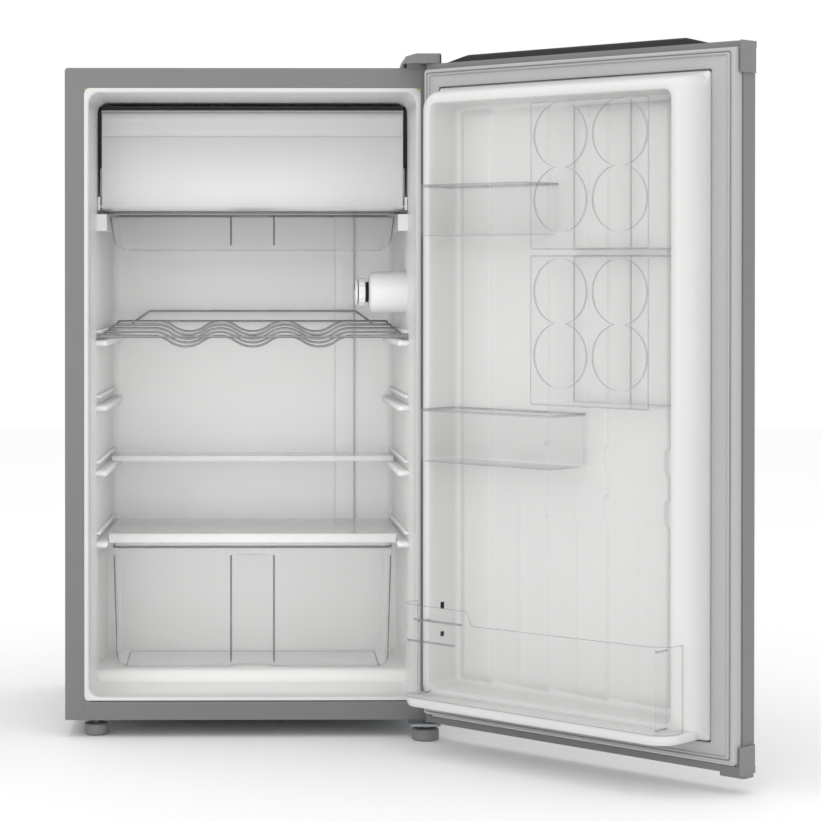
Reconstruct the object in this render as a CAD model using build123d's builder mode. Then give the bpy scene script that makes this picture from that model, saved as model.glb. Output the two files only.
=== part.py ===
from build123d import *
import os
from math import cos, radians, sin, sqrt

os.makedirs("parts", exist_ok=True)

# Compact refrigerator with one door. Millimetres, +Z up, +Y towards the rear.
# The origin lies on the floor, midway between the sides, under the front plane of the cabinet.

# ---------------------------------------------------------------- driving dimensions
CAB_W = 472.0  # width over the side panels
CAB_D = 405.0  # front plane to back panel
BODY_Z0 = 22.0  # underside of the cabinet
BODY_Z1 = 843.0  # top of the cabinet
SHEET = 1.0  # painted sheet steel
PLASTIC = 1.5  # vacuum formed liner
FRAME_SIDE = 24.0  # painted front frame beside the liner
FRAME_TOP = 25.0
FRAME_BOTTOM = 24.5
RIM = 6.0  # white rim of the liner that shows inside the frame

HINGE_X = 228.0  # door axis
HINGE_Y = -21.0
DOOR_OPEN = 135.3  # degrees from shut, as stored
DOOR_REACH = 459.5  # door axis to the free edge
DOOR_HEEL = 6.5  # door axis to the hinge edge
DOOR_OUT = -20.9  # outer face of the door, from the axis
SEAL_PLANE = 20.7  # face of the seal, from the axis
DOOR_Z0 = 23.0
DOOR_Z1 = 846.0
CAP_H = 8.0  # plastic end caps of the door
EDGE_R = 8.0  # rounded long edges of the door

HALF = CAB_W / 2
OPEN_X = HALF - FRAME_SIDE - RIM  # half width of the opening
OPEN_Z0 = BODY_Z0 + FRAME_BOTTOM + RIM - 1.5
OPEN_Z1 = BODY_Z1 - FRAME_TOP - RIM
REAR_X = 195.0  # half width at the rear wall
REAR_Y = 345.0
REAR_Z0 = 66.0
REAR_Z1 = 800.0
HUMP_Y = 275.0  # step in the liner over the compressor
HUMP_Z = 231.0
BAY_Y = 300.0  # compressor bay behind the step
BAY_Z = 200.0

RAIL_LEVELS = (500.0, 415.5, 331.0, 238.0)  # undersides of the four shelf grooves
RAIL_Y0 = 95.0
RAIL_Y1 = 340.0
GAP = 0.3  # clearance between pieces that move past each other


# ---------------------------------------------------------------- planes and shared shapes
def level(z):
    """Horizontal plane at height z."""
    return Plane.XY.offset(z)


def front(y):
    """Upright plane at depth y; its sketches hold X and Z, and extrude towards the front."""
    return Plane.XZ.offset(-y)


def side(x):
    """Upright plane at x; its sketches hold Y and Z, and extrude towards +X."""
    return Plane.YZ.offset(x)


SWING = (cos(radians(DOOR_OPEN)), sin(radians(DOOR_OPEN)), 0)
DOOR = Plane(origin=(HINGE_X, HINGE_Y, 0), x_dir=SWING, z_dir=(0, 0, 1))
ACROSS_DOOR = Axis(DOOR.origin, DOOR.x_dir)
INTO_CABINET = Axis(DOOR.origin, DOOR.y_dir)


def door_level(z):
    """Plan of the door at height z: -x runs to the free edge, +y runs into the cabinet."""
    return DOOR.offset(z)


def door_front(y):
    """Upright plane of the door at depth y, with x and Z; it extrudes to the outside."""
    return Plane(origin=DOOR.from_local_coords(Vector(0, y, 0)), x_dir=DOOR.x_dir, z_dir=-DOOR.y_dir)


def patch(x0, y0, x1, y1, r=0.0, mode=Mode.ADD):
    """Rectangle between two corners, with rounded corners where r is given."""
    with Locations(((x0 + x1) / 2, (y0 + y1) / 2)):
        if r:
            RectangleRounded(abs(x1 - x0), abs(y1 - y0), r, mode=mode)
        else:
            Rectangle(abs(x1 - x0), abs(y1 - y0), mode=mode)


def block(plane, x0, y0, x1, y1, depth, r=0.0, mode=Mode.ADD):
    """Rectangle between two corners of a plane, extruded."""
    with BuildSketch(plane) as outline:
        patch(x0, y0, x1, y1, r)
    extrude(outline.sketch, amount=depth, mode=mode)


def rod(plane, x, y, r, depth, mode=Mode.ADD):
    """Round bar that stands on a plane."""
    with BuildSketch(plane) as outline:
        with Locations((x, y)):
            Circle(r)
    extrude(outline.sketch, amount=depth, mode=mode)


def wall_x(y):
    """Half width of the compartment at depth y."""
    return OPEN_X + (REAR_X - OPEN_X) * y / REAR_Y


def floor_z(y):
    """Height of the compartment floor at depth y."""
    return OPEN_Z0 + (REAR_Z0 - OPEN_Z0) * y / REAR_Y


def compartment(grow):
    """Space inside the liner, with every wall moved out by grow."""
    with BuildPart() as space:
        with BuildSketch(front(0)):
            patch(-OPEN_X - grow, OPEN_Z0 - grow, OPEN_X + grow, OPEN_Z1 + grow, 14 + grow)
        with BuildSketch(front(REAR_Y + grow)):
            patch(-REAR_X - grow, REAR_Z0 - grow, REAR_X + grow, REAR_Z1 + grow, 14 + grow)
        loft()
        block(side(-HALF), HUMP_Y + grow, 0, CAB_D, HUMP_Z - grow, CAB_W, mode=Mode.SUBTRACT)
    return space.part


def write(piece, label):
    """Names a finished piece and writes its file."""
    piece.part.label = label
    export_step(piece.part, f"parts/{label}.step")


SPACE = compartment(0)
SPACE_OUT = compartment(PLASTIC)

# ---------------------------------------------------------------- levelling feet
STUD_R = 3.9
FEET = {
    "front_left": (-198.0, 25.0, 15.5),
    "front_right": (217.0, -16.0, 17.0),
    "rear_left": (-198.0, 375.0, 15.5),
    "rear_right": (198.0, 375.0, 15.5),
}
for place, (foot_x, foot_y, foot_r) in FEET.items():
    stud_top = 18.7 if place == "front_right" else 34.0
    with BuildPart() as foot:
        rod(level(0), foot_x, foot_y, foot_r, 15)
        chamfer(foot.edges().group_by(Axis.Z)[0], 2.0)
        fillet(foot.edges().group_by(Axis.Z)[-1], 3.0)
        rod(level(15), foot_x, foot_y, STUD_R, stud_top - 15)
    write(foot, f"levelling_foot_{place}")

with BuildPart() as foot_nuts:
    for place, nut_z in (("front_left", BODY_Z0 + SHEET), ("rear_left", 24.0), ("rear_right", 24.0)):
        with BuildSketch(level(nut_z)):
            with Locations(FEET[place][:2]):
                RegularPolygon(7.5, 6)
                Circle(STUD_R + GAP, mode=Mode.SUBTRACT)
        extrude(amount=8)
write(foot_nuts, "foot_nuts")

# ---------------------------------------------------------------- cabinet
with BuildPart() as cabinet_shell:
    block(level(BODY_Z0), -HALF, 0, HALF, CAB_D, BODY_Z1 - BODY_Z0)
    top_edges = cabinet_shell.edges().filter_by(Axis.Y).group_by(Axis.Z)[-1]
    fillet(top_edges, 4.0)
    block(
        level(BODY_Z0),
        -HALF + SHEET,
        SHEET,
        HALF - SHEET,
        CAB_D,
        BODY_Z1 - BODY_Z0 - SHEET,
        mode=Mode.SUBTRACT,
    )
    block(
        front(SHEET), -OPEN_X - RIM, BODY_Z0, OPEN_X + RIM, OPEN_Z1 + RIM, SHEET, mode=Mode.SUBTRACT
    )
write(cabinet_shell, "cabinet_shell")

RAIL_D = 36.0
RAIL_X = OPEN_X + RIM - 0.1
RAIL_TOP = BODY_Z0 + FRAME_BOTTOM
with BuildPart() as front_bottom_rail:
    block(side(-RAIL_X), 0, BODY_Z0, RAIL_D, RAIL_TOP, 2 * RAIL_X)
    block(side(-RAIL_X), SHEET, BODY_Z0 + SHEET, RAIL_D, RAIL_TOP - SHEET, 2 * RAIL_X, mode=Mode.SUBTRACT)
    rod(level(BODY_Z0), *FEET["front_left"][:2], STUD_R + GAP, SHEET, mode=Mode.SUBTRACT)
write(front_bottom_rail, "front_bottom_rail")

PANEL_X = HALF - SHEET - 0.1
with BuildPart() as base_panel:
    with BuildSketch(side(-PANEL_X)):
        patch(RAIL_D, BODY_Z0, BAY_Y, BODY_Z0 + SHEET)
        patch(BAY_Y - SHEET, BODY_Z0, BAY_Y, BAY_Z)
        patch(BAY_Y - SHEET, BAY_Z - SHEET, CAB_D - SHEET, BAY_Z)
    extrude(amount=2 * PANEL_X)
write(base_panel, "base_panel")

with BuildPart() as back_panel:
    block(front(CAB_D), -PANEL_X, BAY_Z - SHEET, PANEL_X, BODY_Z1 - SHEET - 0.1, SHEET)
write(back_panel, "back_panel")

VENT_PITCH = 14.0
GLAND_AT = (-150.0, 48.0)
with BuildPart() as compressor_base:
    block(level(BODY_Z0), -PANEL_X, BAY_Y + 0.5, PANEL_X, CAB_D, 2.0)
    block(front(CAB_D), -PANEL_X, BODY_Z0, PANEL_X, BODY_Z0 + 14, 2.0)
    block(front(CAB_D), GLAND_AT[0] - 14, BODY_Z0, GLAND_AT[0] + 14, GLAND_AT[1] + 14, 2.0)
    rod(front(CAB_D), *GLAND_AT, 6.1, 2.0, mode=Mode.SUBTRACT)
    for place in ("rear_left", "rear_right"):
        rod(level(BODY_Z0), *FEET[place][:2], STUD_R + GAP, 2.0, mode=Mode.SUBTRACT)
    with BuildSketch(level(BODY_Z0)):
        with Locations((-60, 352)):
            with GridLocations(VENT_PITCH, 1, 7, 1):
                SlotOverall(40, 6, rotation=90)
    extrude(amount=2.0, mode=Mode.SUBTRACT)
write(compressor_base, "compressor_base")

RUNNER_Y = 112.0  # front of the two floor runners under the drawer
RUNNER_TOP = 68.7
RAIL_LOW = 14.0  # width of the ledge that a shelf rests on
RAIL_HIGH = 4.0  # width of the flange over it
with BuildPart() as liner_walls:
    add(SPACE_OUT)
    block(
        front(PLASTIC),
        -OPEN_X - RIM + 0.1,
        OPEN_Z0 - RIM + 1.5,
        OPEN_X + RIM - 0.1,
        OPEN_Z1 + RIM - 0.1,
        PLASTIC,
    )
    add(SPACE, mode=Mode.SUBTRACT)

with BuildPart() as inner_liner:
    for hand in (-1, 1):
        for groove in RAIL_LEVELS:
            ledges = ((groove - 10, groove - 2, RAIL_LOW), (groove + 6, groove + 11, RAIL_HIGH))
            for z0, z1, reach in ledges:
                with BuildSketch(level(z0)):
                    with BuildLine():
                        Polyline(
                            (hand * (wall_x(RAIL_Y0) + 0.7), RAIL_Y0),
                            (hand * (wall_x(RAIL_Y0) - reach), RAIL_Y0 + reach),
                            (hand * (wall_x(RAIL_Y1) - reach), RAIL_Y1),
                            (hand * (wall_x(RAIL_Y1) + 0.7), RAIL_Y1),
                            close=True,
                        )
                    make_face()
                extrude(amount=z1 - z0)
        with BuildSketch(side(hand * 150 - 3)):
            with BuildLine():
                Polyline(
                    (RUNNER_Y, floor_z(RUNNER_Y) - 0.5),
                    (HUMP_Y + 0.5, floor_z(HUMP_Y) - 0.5),
                    (HUMP_Y + 0.5, RUNNER_TOP),
                    (RUNNER_Y, RUNNER_TOP),
                    close=True,
                )
            make_face()
        extrude(amount=6)
    block(front(REAR_Y + 1), 115, HUMP_Z - 1, 142, REAR_Z1, 8, r=3)
    add(SPACE_OUT, mode=Mode.INTERSECT)
    add(liner_walls.part)
write(inner_liner, "inner_liner")

with BuildPart() as cabinet_foam:
    block(
        level(BODY_Z0 + SHEET),
        -PANEL_X,
        PLASTIC + 0.1,
        PANEL_X,
        CAB_D - SHEET - 0.1,
        BODY_Z1 - BODY_Z0 - 2 * SHEET - 4,
    )
    add(SPACE_OUT, mode=Mode.SUBTRACT)
    block(side(-HALF), 0, 0, RAIL_D + 0.1, RAIL_TOP + 0.1, CAB_W, mode=Mode.SUBTRACT)
    block(side(-HALF), BAY_Y - SHEET - 0.1, 0, CAB_D, BAY_Z + 0.1, CAB_W, mode=Mode.SUBTRACT)
write(cabinet_foam, "cabinet_foam")

# ---------------------------------------------------------------- freezer compartment
FLAP_X = 196.0
FLAP_Z0 = 668.0
FLAP_Z1 = 796.0
FLAP_AXIS = (117.0, 672.0)  # depth and height of the flap's pivots
FLAP_T = 8.0
PIVOT_R = 2.5
with BuildPart() as freezer_flap:
    with BuildSketch(side(-FLAP_X)):
        with BuildLine():
            Polyline(
                (FLAP_AXIS[0] - FLAP_T / 2, FLAP_Z0),
                (FLAP_AXIS[0] + FLAP_T / 2, FLAP_Z0),
                (FLAP_AXIS[0] + FLAP_T / 2, FLAP_Z1 - 36),
                (FLAP_AXIS[0] + FLAP_T / 2 + 2, FLAP_Z1),
                (FLAP_AXIS[0] - 3, FLAP_Z1),
                (FLAP_AXIS[0] - FLAP_T / 2, FLAP_Z1 - 33),
                close=True,
            )
        make_face()
    extrude(amount=2 * FLAP_X)
    fillet(freezer_flap.edges().filter_by(Axis.X).group_by(Axis.Z)[0], 3.0)
    for hand in (-1, 1):
        start = FLAP_X if hand > 0 else -FLAP_X - 4
        rod(side(start), *FLAP_AXIS, PIVOT_R, 4.0)
write(freezer_flap, "freezer_flap")

FRAME_Y = 124.0  # front of the frame round the freezer mouth
with BuildPart() as evaporator_frame:
    block(front(FRAME_Y + 5), -199, 666.5, 199, 802.5, 5, r=6)
    block(front(FRAME_Y + 5), -184, 678, 184, 790, 5, r=6, mode=Mode.SUBTRACT)
    for x in (-201.8, 198.4):
        block(side(x), FLAP_AXIS[0] - 7, FLAP_AXIS[1] - 5, FRAME_Y + 5, FLAP_AXIS[1] + 12, 3.4)
        rod(side(x), *FLAP_AXIS, PIVOT_R + 0.05, 3.4, mode=Mode.SUBTRACT)
write(evaporator_frame, "evaporator_frame")

with BuildPart() as evaporator_box:
    block(front(315), -188, 674, 188, 794, 186, r=8)
    block(front(313.5), -186.5, 675.5, 186.5, 792.5, 184.5, r=6.5, mode=Mode.SUBTRACT)
write(evaporator_box, "evaporator_box")

with BuildPart() as evaporator_hangers:
    for x in (-120, 120):
        for y in (160, 290):
            rod(level(794), x, y, 5.0, 6.0 if y > 200 else 9.0)
write(evaporator_hangers, "evaporator_hangers")

# ---------------------------------------------------------------- chill tray
TRAY_Y0 = 104.0
TRAY_Y1 = 300.0
TRAY_Z0 = 614.5
TRAY_Z1 = 665.0
TRAY_X = 187.0
TRAY_WALL = 2.0
GRIP_X = 29.0  # half width of the moulded finger channels
with BuildPart() as chill_tray:
    block(level(TRAY_Z1 - 3), -195.5, TRAY_Y0, 195.5, TRAY_Y1, 3, r=6)
    with BuildSketch(level(TRAY_Z1)):
        patch(-TRAY_X, TRAY_Y0, TRAY_X, TRAY_Y1, 6)
    extrude(amount=-(TRAY_Z1 - TRAY_Z0), taper=6)
    with BuildSketch(level(TRAY_Z1)):
        patch(-TRAY_X + TRAY_WALL, TRAY_Y0 + TRAY_WALL, TRAY_X - TRAY_WALL, TRAY_Y1 - TRAY_WALL, 4)
    extrude(amount=-(TRAY_Z1 - TRAY_Z0 - TRAY_WALL), taper=6, mode=Mode.SUBTRACT)
    block(front(TRAY_Y0 + 12), -GRIP_X - 2, TRAY_Z0 + 2, GRIP_X + 2, TRAY_Z1, 8)
    block(front(TRAY_Y0 + 10), -GRIP_X, TRAY_Z0, GRIP_X, TRAY_Z1 - 4, 12, mode=Mode.SUBTRACT)
write(chill_tray, "chill_tray")

with BuildPart() as tray_rails:
    for hand in (-1, 1):
        with BuildSketch(level(640)):
            with BuildLine():
                Polyline(
                    (hand * (wall_x(100) - 0.1), 100),
                    (hand * 189.5, 106),
                    (hand * 189.5, 300),
                    (hand * (wall_x(300) - 0.1), 300),
                    close=True,
                )
            make_face()
        extrude(amount=TRAY_Z1 - 3 - GAP - 640)
write(tray_rails, "tray_rails")

# ---------------------------------------------------------------- thermostat
STAT_X = 153.0
STAT_Z = (533.0, 587.0)
STAT_Y = (112.0, 190.0)
KNOB_AT = (150.0, 560.0)  # depth and height of the knob's axis
KNOB_R = 17.0
with BuildPart() as thermostat_housing:
    with BuildSketch(level(STAT_Z[0])):
        with BuildLine():
            Polyline(
                (STAT_X, STAT_Y[0] + 8),
                (STAT_X + 8, STAT_Y[0]),
                (wall_x(STAT_Y[0]) - 0.1, STAT_Y[0]),
                (wall_x(STAT_Y[1]) - 0.1, STAT_Y[1]),
                (STAT_X, STAT_Y[1]),
                close=True,
            )
        make_face()
    extrude(amount=STAT_Z[1] - STAT_Z[0])
    fillet(thermostat_housing.edges().filter_by(Axis.Y).group_by(Axis.X)[0], 6.0)
    block(
        side(STAT_X + 2),
        STAT_Y[0] + 10,
        STAT_Z[0] + 2,
        STAT_Y[1] - 2,
        STAT_Z[1] - 2,
        34,
        mode=Mode.SUBTRACT,
    )
    rod(side(STAT_X), *KNOB_AT, 4.2, 3, mode=Mode.SUBTRACT)
write(thermostat_housing, "thermostat_housing")

with BuildPart() as thermostat_switch:
    block(side(STAT_X + 2.2), KNOB_AT[0] - 16, KNOB_AT[1] - 14, KNOB_AT[0] + 20, KNOB_AT[1] + 14, 28, r=3)
    rod(side(STAT_X - 8), *KNOB_AT, 3.0, 10.2)
write(thermostat_switch, "thermostat_switch")

KNOB_X = 134.0
with BuildPart() as thermostat_knob:
    rod(side(KNOB_X), *KNOB_AT, KNOB_R, STAT_X - 2 - KNOB_X)
    fillet(thermostat_knob.edges().group_by(Axis.X)[0], 2.5)
    block(
        side(KNOB_X - 1),
        KNOB_AT[0] - 2.2,
        KNOB_AT[1] + 3,
        KNOB_AT[0] + 2.2,
        KNOB_AT[1] + 13,
        3,
        mode=Mode.SUBTRACT,
    )
    rod(side(STAT_X - 9), *KNOB_AT, 3.05, 7, mode=Mode.SUBTRACT)
write(thermostat_knob, "thermostat_knob")

# ---------------------------------------------------------------- wire bottle rack
WIRE_R = 1.5
RACK_Y = (98.0, 328.0)
RACK_Z = 500.0
WAVE = 87.0  # one bottle to the next
CREST = 7.0
ARC_R = (WAVE**2 / 16 + CREST**2) / (2 * CREST)


def sweep_wire(line, radius):
    """Round wire along the line of a BuildLine."""
    with BuildSketch(Plane(origin=line @ 0, z_dir=line % 0)) as section:
        Circle(radius)
    sweep(section.sketch, path=line)


def wave_point(x, y, z_mid):
    """Point of the waved wire: arcs of one radius, hollow at each bottle, full between bottles."""
    cell = round(2 * x / WAVE)
    rise = CREST - ARC_R + sqrt(ARC_R**2 - (x - cell * WAVE / 2) ** 2)
    return (x, y, z_mid + (rise if cell % 2 else -rise))


def waved_wire(y, z_mid, end_x):
    """Wire that holds three bottles in its hollows."""
    knots = [WAVE / 4 * step for step in (-6, -5, -3, -1, 1, 3, 5, 6)]
    with BuildLine() as path:
        Line((-end_x, y, z_mid + CREST), wave_point(knots[0], y, z_mid))
        for x0, x1 in zip(knots, knots[1:]):
            ThreePointArc(
                wave_point(x0, y, z_mid), wave_point((x0 + x1) / 2, y, z_mid), wave_point(x1, y, z_mid)
            )
        Line(wave_point(knots[-1], y, z_mid), (end_x, y, z_mid + CREST))
    sweep_wire(path.line, WIRE_R)


RACK_FRONT_X = 199.0
RACK_REAR_X = 185.0
RACK_RISE = 18.0
WELD = 2.2  # axis to axis where two wires are welded side by side
with BuildPart() as bottle_rack:
    with BuildLine() as frame_path:
        FilletPolyline(
            (-RACK_FRONT_X, RACK_Y[0] - 1, RACK_Z),
            (-RACK_REAR_X, RACK_Y[1], RACK_Z + RACK_RISE),
            (RACK_REAR_X, RACK_Y[1], RACK_Z + RACK_RISE),
            (RACK_FRONT_X, RACK_Y[0] - 1, RACK_Z),
            radius=12,
        )
    sweep_wire(frame_path.line, WIRE_R)
    with BuildLine() as front_path:
        Line(
            (-RACK_FRONT_X - 1.5, RACK_Y[0], RACK_Z + WELD),
            (RACK_FRONT_X + 1.5, RACK_Y[0], RACK_Z + WELD),
        )
    sweep_wire(front_path.line, WIRE_R)
    with BuildLine() as stop_path:
        FilletPolyline(
            (-167, RACK_Y[1] + WELD, RACK_Z + RACK_RISE - 3),
            (-143, RACK_Y[1] + WELD, RACK_Z + 32),
            (143, RACK_Y[1] + WELD, RACK_Z + 32),
            (167, RACK_Y[1] + WELD, RACK_Z + RACK_RISE - 3),
            radius=8,
        )
    sweep_wire(stop_path.line, WIRE_R)
    for step in range(5):
        run = 14 + 48 * step
        share = run / (RACK_Y[1] - RACK_Y[0])
        side_z = RACK_Z + RACK_RISE * share
        side_x = RACK_FRONT_X + (RACK_REAR_X - RACK_FRONT_X) * share
        waved_wire(RACK_Y[0] + run, side_z + WELD - CREST, side_x)
write(bottle_rack, "bottle_rack")

# ---------------------------------------------------------------- glass shelves
REAR_SHELF_Y = (240.0, 336.0)
REAR_SHELF_Z = 331.0
SHELF_X = 191.0
GLASS_T = 4.0
with BuildPart() as rear_shelf:
    block(level(REAR_SHELF_Z), -SHELF_X, REAR_SHELF_Y[0] + 2, SHELF_X, REAR_SHELF_Y[1], GLASS_T)
write(rear_shelf, "rear_shelf")

with BuildPart() as rear_shelf_trim:
    block(
        side(-SHELF_X),
        REAR_SHELF_Y[0],
        REAR_SHELF_Z - 1.5,
        REAR_SHELF_Y[0] + 8,
        REAR_SHELF_Z + 5.5,
        2 * SHELF_X,
    )
    block(
        side(-SHELF_X),
        REAR_SHELF_Y[0] + 2,
        REAR_SHELF_Z,
        REAR_SHELF_Y[0] + 9,
        REAR_SHELF_Z + GLASS_T,
        2 * SHELF_X,
        mode=Mode.SUBTRACT,
    )
write(rear_shelf_trim, "rear_shelf_trim")

COVER_Y = (112.0, 336.0)
COVER_Z = 238.0
COVER_T = 4.0
with BuildPart() as crisper_cover:
    block(level(COVER_Z), -SHELF_X, COVER_Y[0] + 3, SHELF_X, COVER_Y[1], COVER_T)
write(crisper_cover, "crisper_cover")

with BuildPart() as crisper_cover_trim:
    block(side(-SHELF_X + 4), COVER_Y[0], COVER_Z - 5.5, COVER_Y[0] + 12, COVER_Z + 6.5, 2 * SHELF_X - 8)
    fillet(crisper_cover_trim.edges().filter_by(Axis.X).group_by(Axis.Y)[0], 1.5)
    block(
        side(-SHELF_X),
        COVER_Y[0] + 3,
        COVER_Z,
        COVER_Y[0] + 13,
        COVER_Z + COVER_T,
        2 * SHELF_X,
        mode=Mode.SUBTRACT,
    )
write(crisper_cover_trim, "crisper_cover_trim")

DRAWER_Y = (112.0, 268.0)
DRAWER_Z = (69.0, 229.0)
DRAWER_X = 182.6
DRAWER_WALL = 2.5
with BuildPart() as crisper_drawer:
    with BuildSketch(level(DRAWER_Z[1])):
        patch(-DRAWER_X, DRAWER_Y[0], DRAWER_X, DRAWER_Y[1], 12)
    extrude(amount=-(DRAWER_Z[1] - DRAWER_Z[0]), taper=1.6)
    bottom_edges = crisper_drawer.edges().group_by(Axis.Z)[0]
    fillet(bottom_edges, 7.0)
    with BuildSketch(level(DRAWER_Z[1])):
        patch(
            -DRAWER_X + DRAWER_WALL,
            DRAWER_Y[0] + DRAWER_WALL,
            DRAWER_X - DRAWER_WALL,
            DRAWER_Y[1] - DRAWER_WALL,
            12 - DRAWER_WALL,
        )
    extrude(amount=-(DRAWER_Z[1] - DRAWER_Z[0] - DRAWER_WALL), taper=1.6, mode=Mode.SUBTRACT)
    block(front(DRAWER_Y[0] + 20), -GRIP_X - 2.5, DRAWER_Z[0] + 2, GRIP_X + 2.5, DRAWER_Z[1], 15)
    block(
        front(DRAWER_Y[0] + 17.5),
        -GRIP_X,
        DRAWER_Z[0] - 1,
        GRIP_X,
        DRAWER_Z[1] - 5,
        20,
        mode=Mode.SUBTRACT,
    )
write(crisper_drawer, "crisper_drawer")

# ---------------------------------------------------------------- door leaf
SKIN = 0.8
LINER_BACK = 6.0  # back of the door liner's flange
LINER_FLANGE = 8.0
PANEL_Z = (DOOR_Z0 + CAP_H, DOOR_Z1 - CAP_H)


def door_plan(inset):
    """Plan outline of the door leaf, with its outer corners rounded."""
    patch(-DOOR_REACH + inset, DOOR_OUT + inset, DOOR_HEEL - inset, LINER_FLANGE, EDGE_R - inset)
    patch(-DOOR_REACH + inset, 0, DOOR_HEEL - inset, LINER_FLANGE)


with BuildPart() as door_outer_panel:
    with BuildSketch(door_level(PANEL_Z[0])):
        door_plan(0)
        patch(-DOOR_REACH + SKIN, 0, DOOR_HEEL - SKIN, LINER_FLANGE + 1, mode=Mode.SUBTRACT)
        patch(
            -DOOR_REACH + SKIN,
            DOOR_OUT + SKIN,
            DOOR_HEEL - SKIN,
            LINER_FLANGE,
            EDGE_R - SKIN,
            mode=Mode.SUBTRACT,
        )
        patch(-DOOR_REACH, LINER_FLANGE - SKIN, -DOOR_REACH + 9, LINER_FLANGE)
        patch(DOOR_HEEL - 7, LINER_FLANGE - SKIN, DOOR_HEEL, LINER_FLANGE)
    extrude(amount=PANEL_Z[1] - PANEL_Z[0])
write(door_outer_panel, "door_outer_panel")

BUSH_R = 5.6
PIN_R = 4.0
with BuildPart() as door_top_cap:
    with BuildSketch(door_level(PANEL_Z[1])):
        door_plan(-0.4)
    extrude(amount=CAP_H)
    rod(door_level(PANEL_Z[1]), 0, 0, BUSH_R, CAP_H, mode=Mode.SUBTRACT)
    block(door_level(DOOR_Z1 - 36), -DOOR_REACH - 2.5, -14, -DOOR_REACH, LINER_FLANGE + 8, 36, r=1.2)
    block(door_level(PANEL_Z[1]), -DOOR_REACH - 2.5, -14, -DOOR_REACH + 4, LINER_FLANGE, CAP_H)
write(door_top_cap, "door_top_cap")

with BuildPart() as door_bottom_cap:
    with BuildSketch(door_level(DOOR_Z0)):
        door_plan(-0.4)
    extrude(amount=CAP_H)
    rod(door_level(DOOR_Z0), 0, 0, BUSH_R, CAP_H, mode=Mode.SUBTRACT)
    block(door_level(DOOR_Z0 - 5), -DOOR_REACH - 1, -16, -DOOR_REACH + 34, 6, 5, r=5)
    block(door_level(DOOR_Z0), -DOOR_REACH - 2.5, -14, -DOOR_REACH, LINER_FLANGE + 8, 32, r=1.2)
    block(door_level(DOOR_Z0), -DOOR_REACH - 2.5, -14, -DOOR_REACH + 4, LINER_FLANGE, CAP_H)
write(door_bottom_cap, "door_bottom_cap")

for label, bush_z in (("upper_hinge_bush", DOOR_Z1 - 18.0), ("lower_hinge_bush", DOOR_Z0)):
    pin_z = bush_z + 3 if label == "upper_hinge_bush" else bush_z
    with BuildPart() as bush:
        rod(door_level(bush_z), 0, 0, BUSH_R - 0.05, 18.0)
        rod(door_level(pin_z), 0, 0, PIN_R + 0.05, 15.0, mode=Mode.SUBTRACT)
    write(bush, label)

HANDLE_Y = (-19.5, -10.0)
with BuildPart() as door_handle:
    with BuildSketch(door_front(HANDLE_Y[1])):
        with BuildLine():
            Polyline(
                (-10, DOOR_Z1),
                (-401, DOOR_Z1),
                (-401, DOOR_Z1 + 1.5),
                (-367, DOOR_Z1 + 10),
                (-46, DOOR_Z1 + 10),
                (-10, DOOR_Z1 + 1.5),
                close=True,
            )
        make_face()
    extrude(amount=HANDLE_Y[1] - HANDLE_Y[0])
    fillet(door_handle.edges().filter_by(ACROSS_DOOR).group_by(Axis.Z)[-1], 3.0)
write(door_handle, "door_handle")

# ---------------------------------------------------------------- door liner
DIKE_X = (-422.0, -26.0)  # outer walls of the raised rim
DIKE_Z = (58.0, 806.0)
DIKE_W = 22.0
RECESS_X = (DIKE_X[0] + DIKE_W, DIKE_X[1] - DIKE_W)  # inner walls
RECESS_Z = (DIKE_Z[0] + DIKE_W, 791.0)
DIKE_TOP = SEAL_PLANE + 45.0
RECESS_Y = 14.0  # depth of the floor between the rims
LEDGE_X = (-420.0, -28.0)
LEDGE_Z = (60.0, 72.0)
LEDGE_Y = 101.0
LINER_T = 2.0
with BuildPart() as door_liner:
    block(door_front(LINER_FLANGE), -450.3, 43, -0.7, 826, LINER_FLANGE - LINER_BACK, r=6)
    block(door_front(DIKE_TOP), DIKE_X[0], DIKE_Z[0], DIKE_X[1], DIKE_Z[1], DIKE_TOP - LINER_BACK, r=22)
    block(
        door_front(DIKE_TOP - LINER_T),
        DIKE_X[0] + LINER_T,
        DIKE_Z[0] + LINER_T,
        DIKE_X[1] - LINER_T,
        DIKE_Z[1] - LINER_T,
        DIKE_TOP - LINER_T - LINER_BACK,
        r=20,
        mode=Mode.SUBTRACT,
    )
    block(
        door_front(DIKE_TOP),
        RECESS_X[0] - LINER_T,
        RECESS_Z[0] - LINER_T,
        RECESS_X[1] + LINER_T,
        RECESS_Z[1] + LINER_T,
        DIKE_TOP - RECESS_Y + LINER_T,
        r=12,
    )
    block(
        door_front(DIKE_TOP),
        RECESS_X[0],
        RECESS_Z[0],
        RECESS_X[1],
        RECESS_Z[1],
        DIKE_TOP - RECESS_Y,
        r=10,
        mode=Mode.SUBTRACT,
    )
    with BuildSketch(door_level(LEDGE_Z[0])):
        patch(LEDGE_X[0], RECESS_Y, LEDGE_X[1], LEDGE_Y, 25)
        patch(LEDGE_X[0], LINER_BACK, LEDGE_X[1], DIKE_TOP, mode=Mode.SUBTRACT)
    extrude(amount=LEDGE_Z[1] - LEDGE_Z[0])
write(door_liner, "door_liner")

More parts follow.
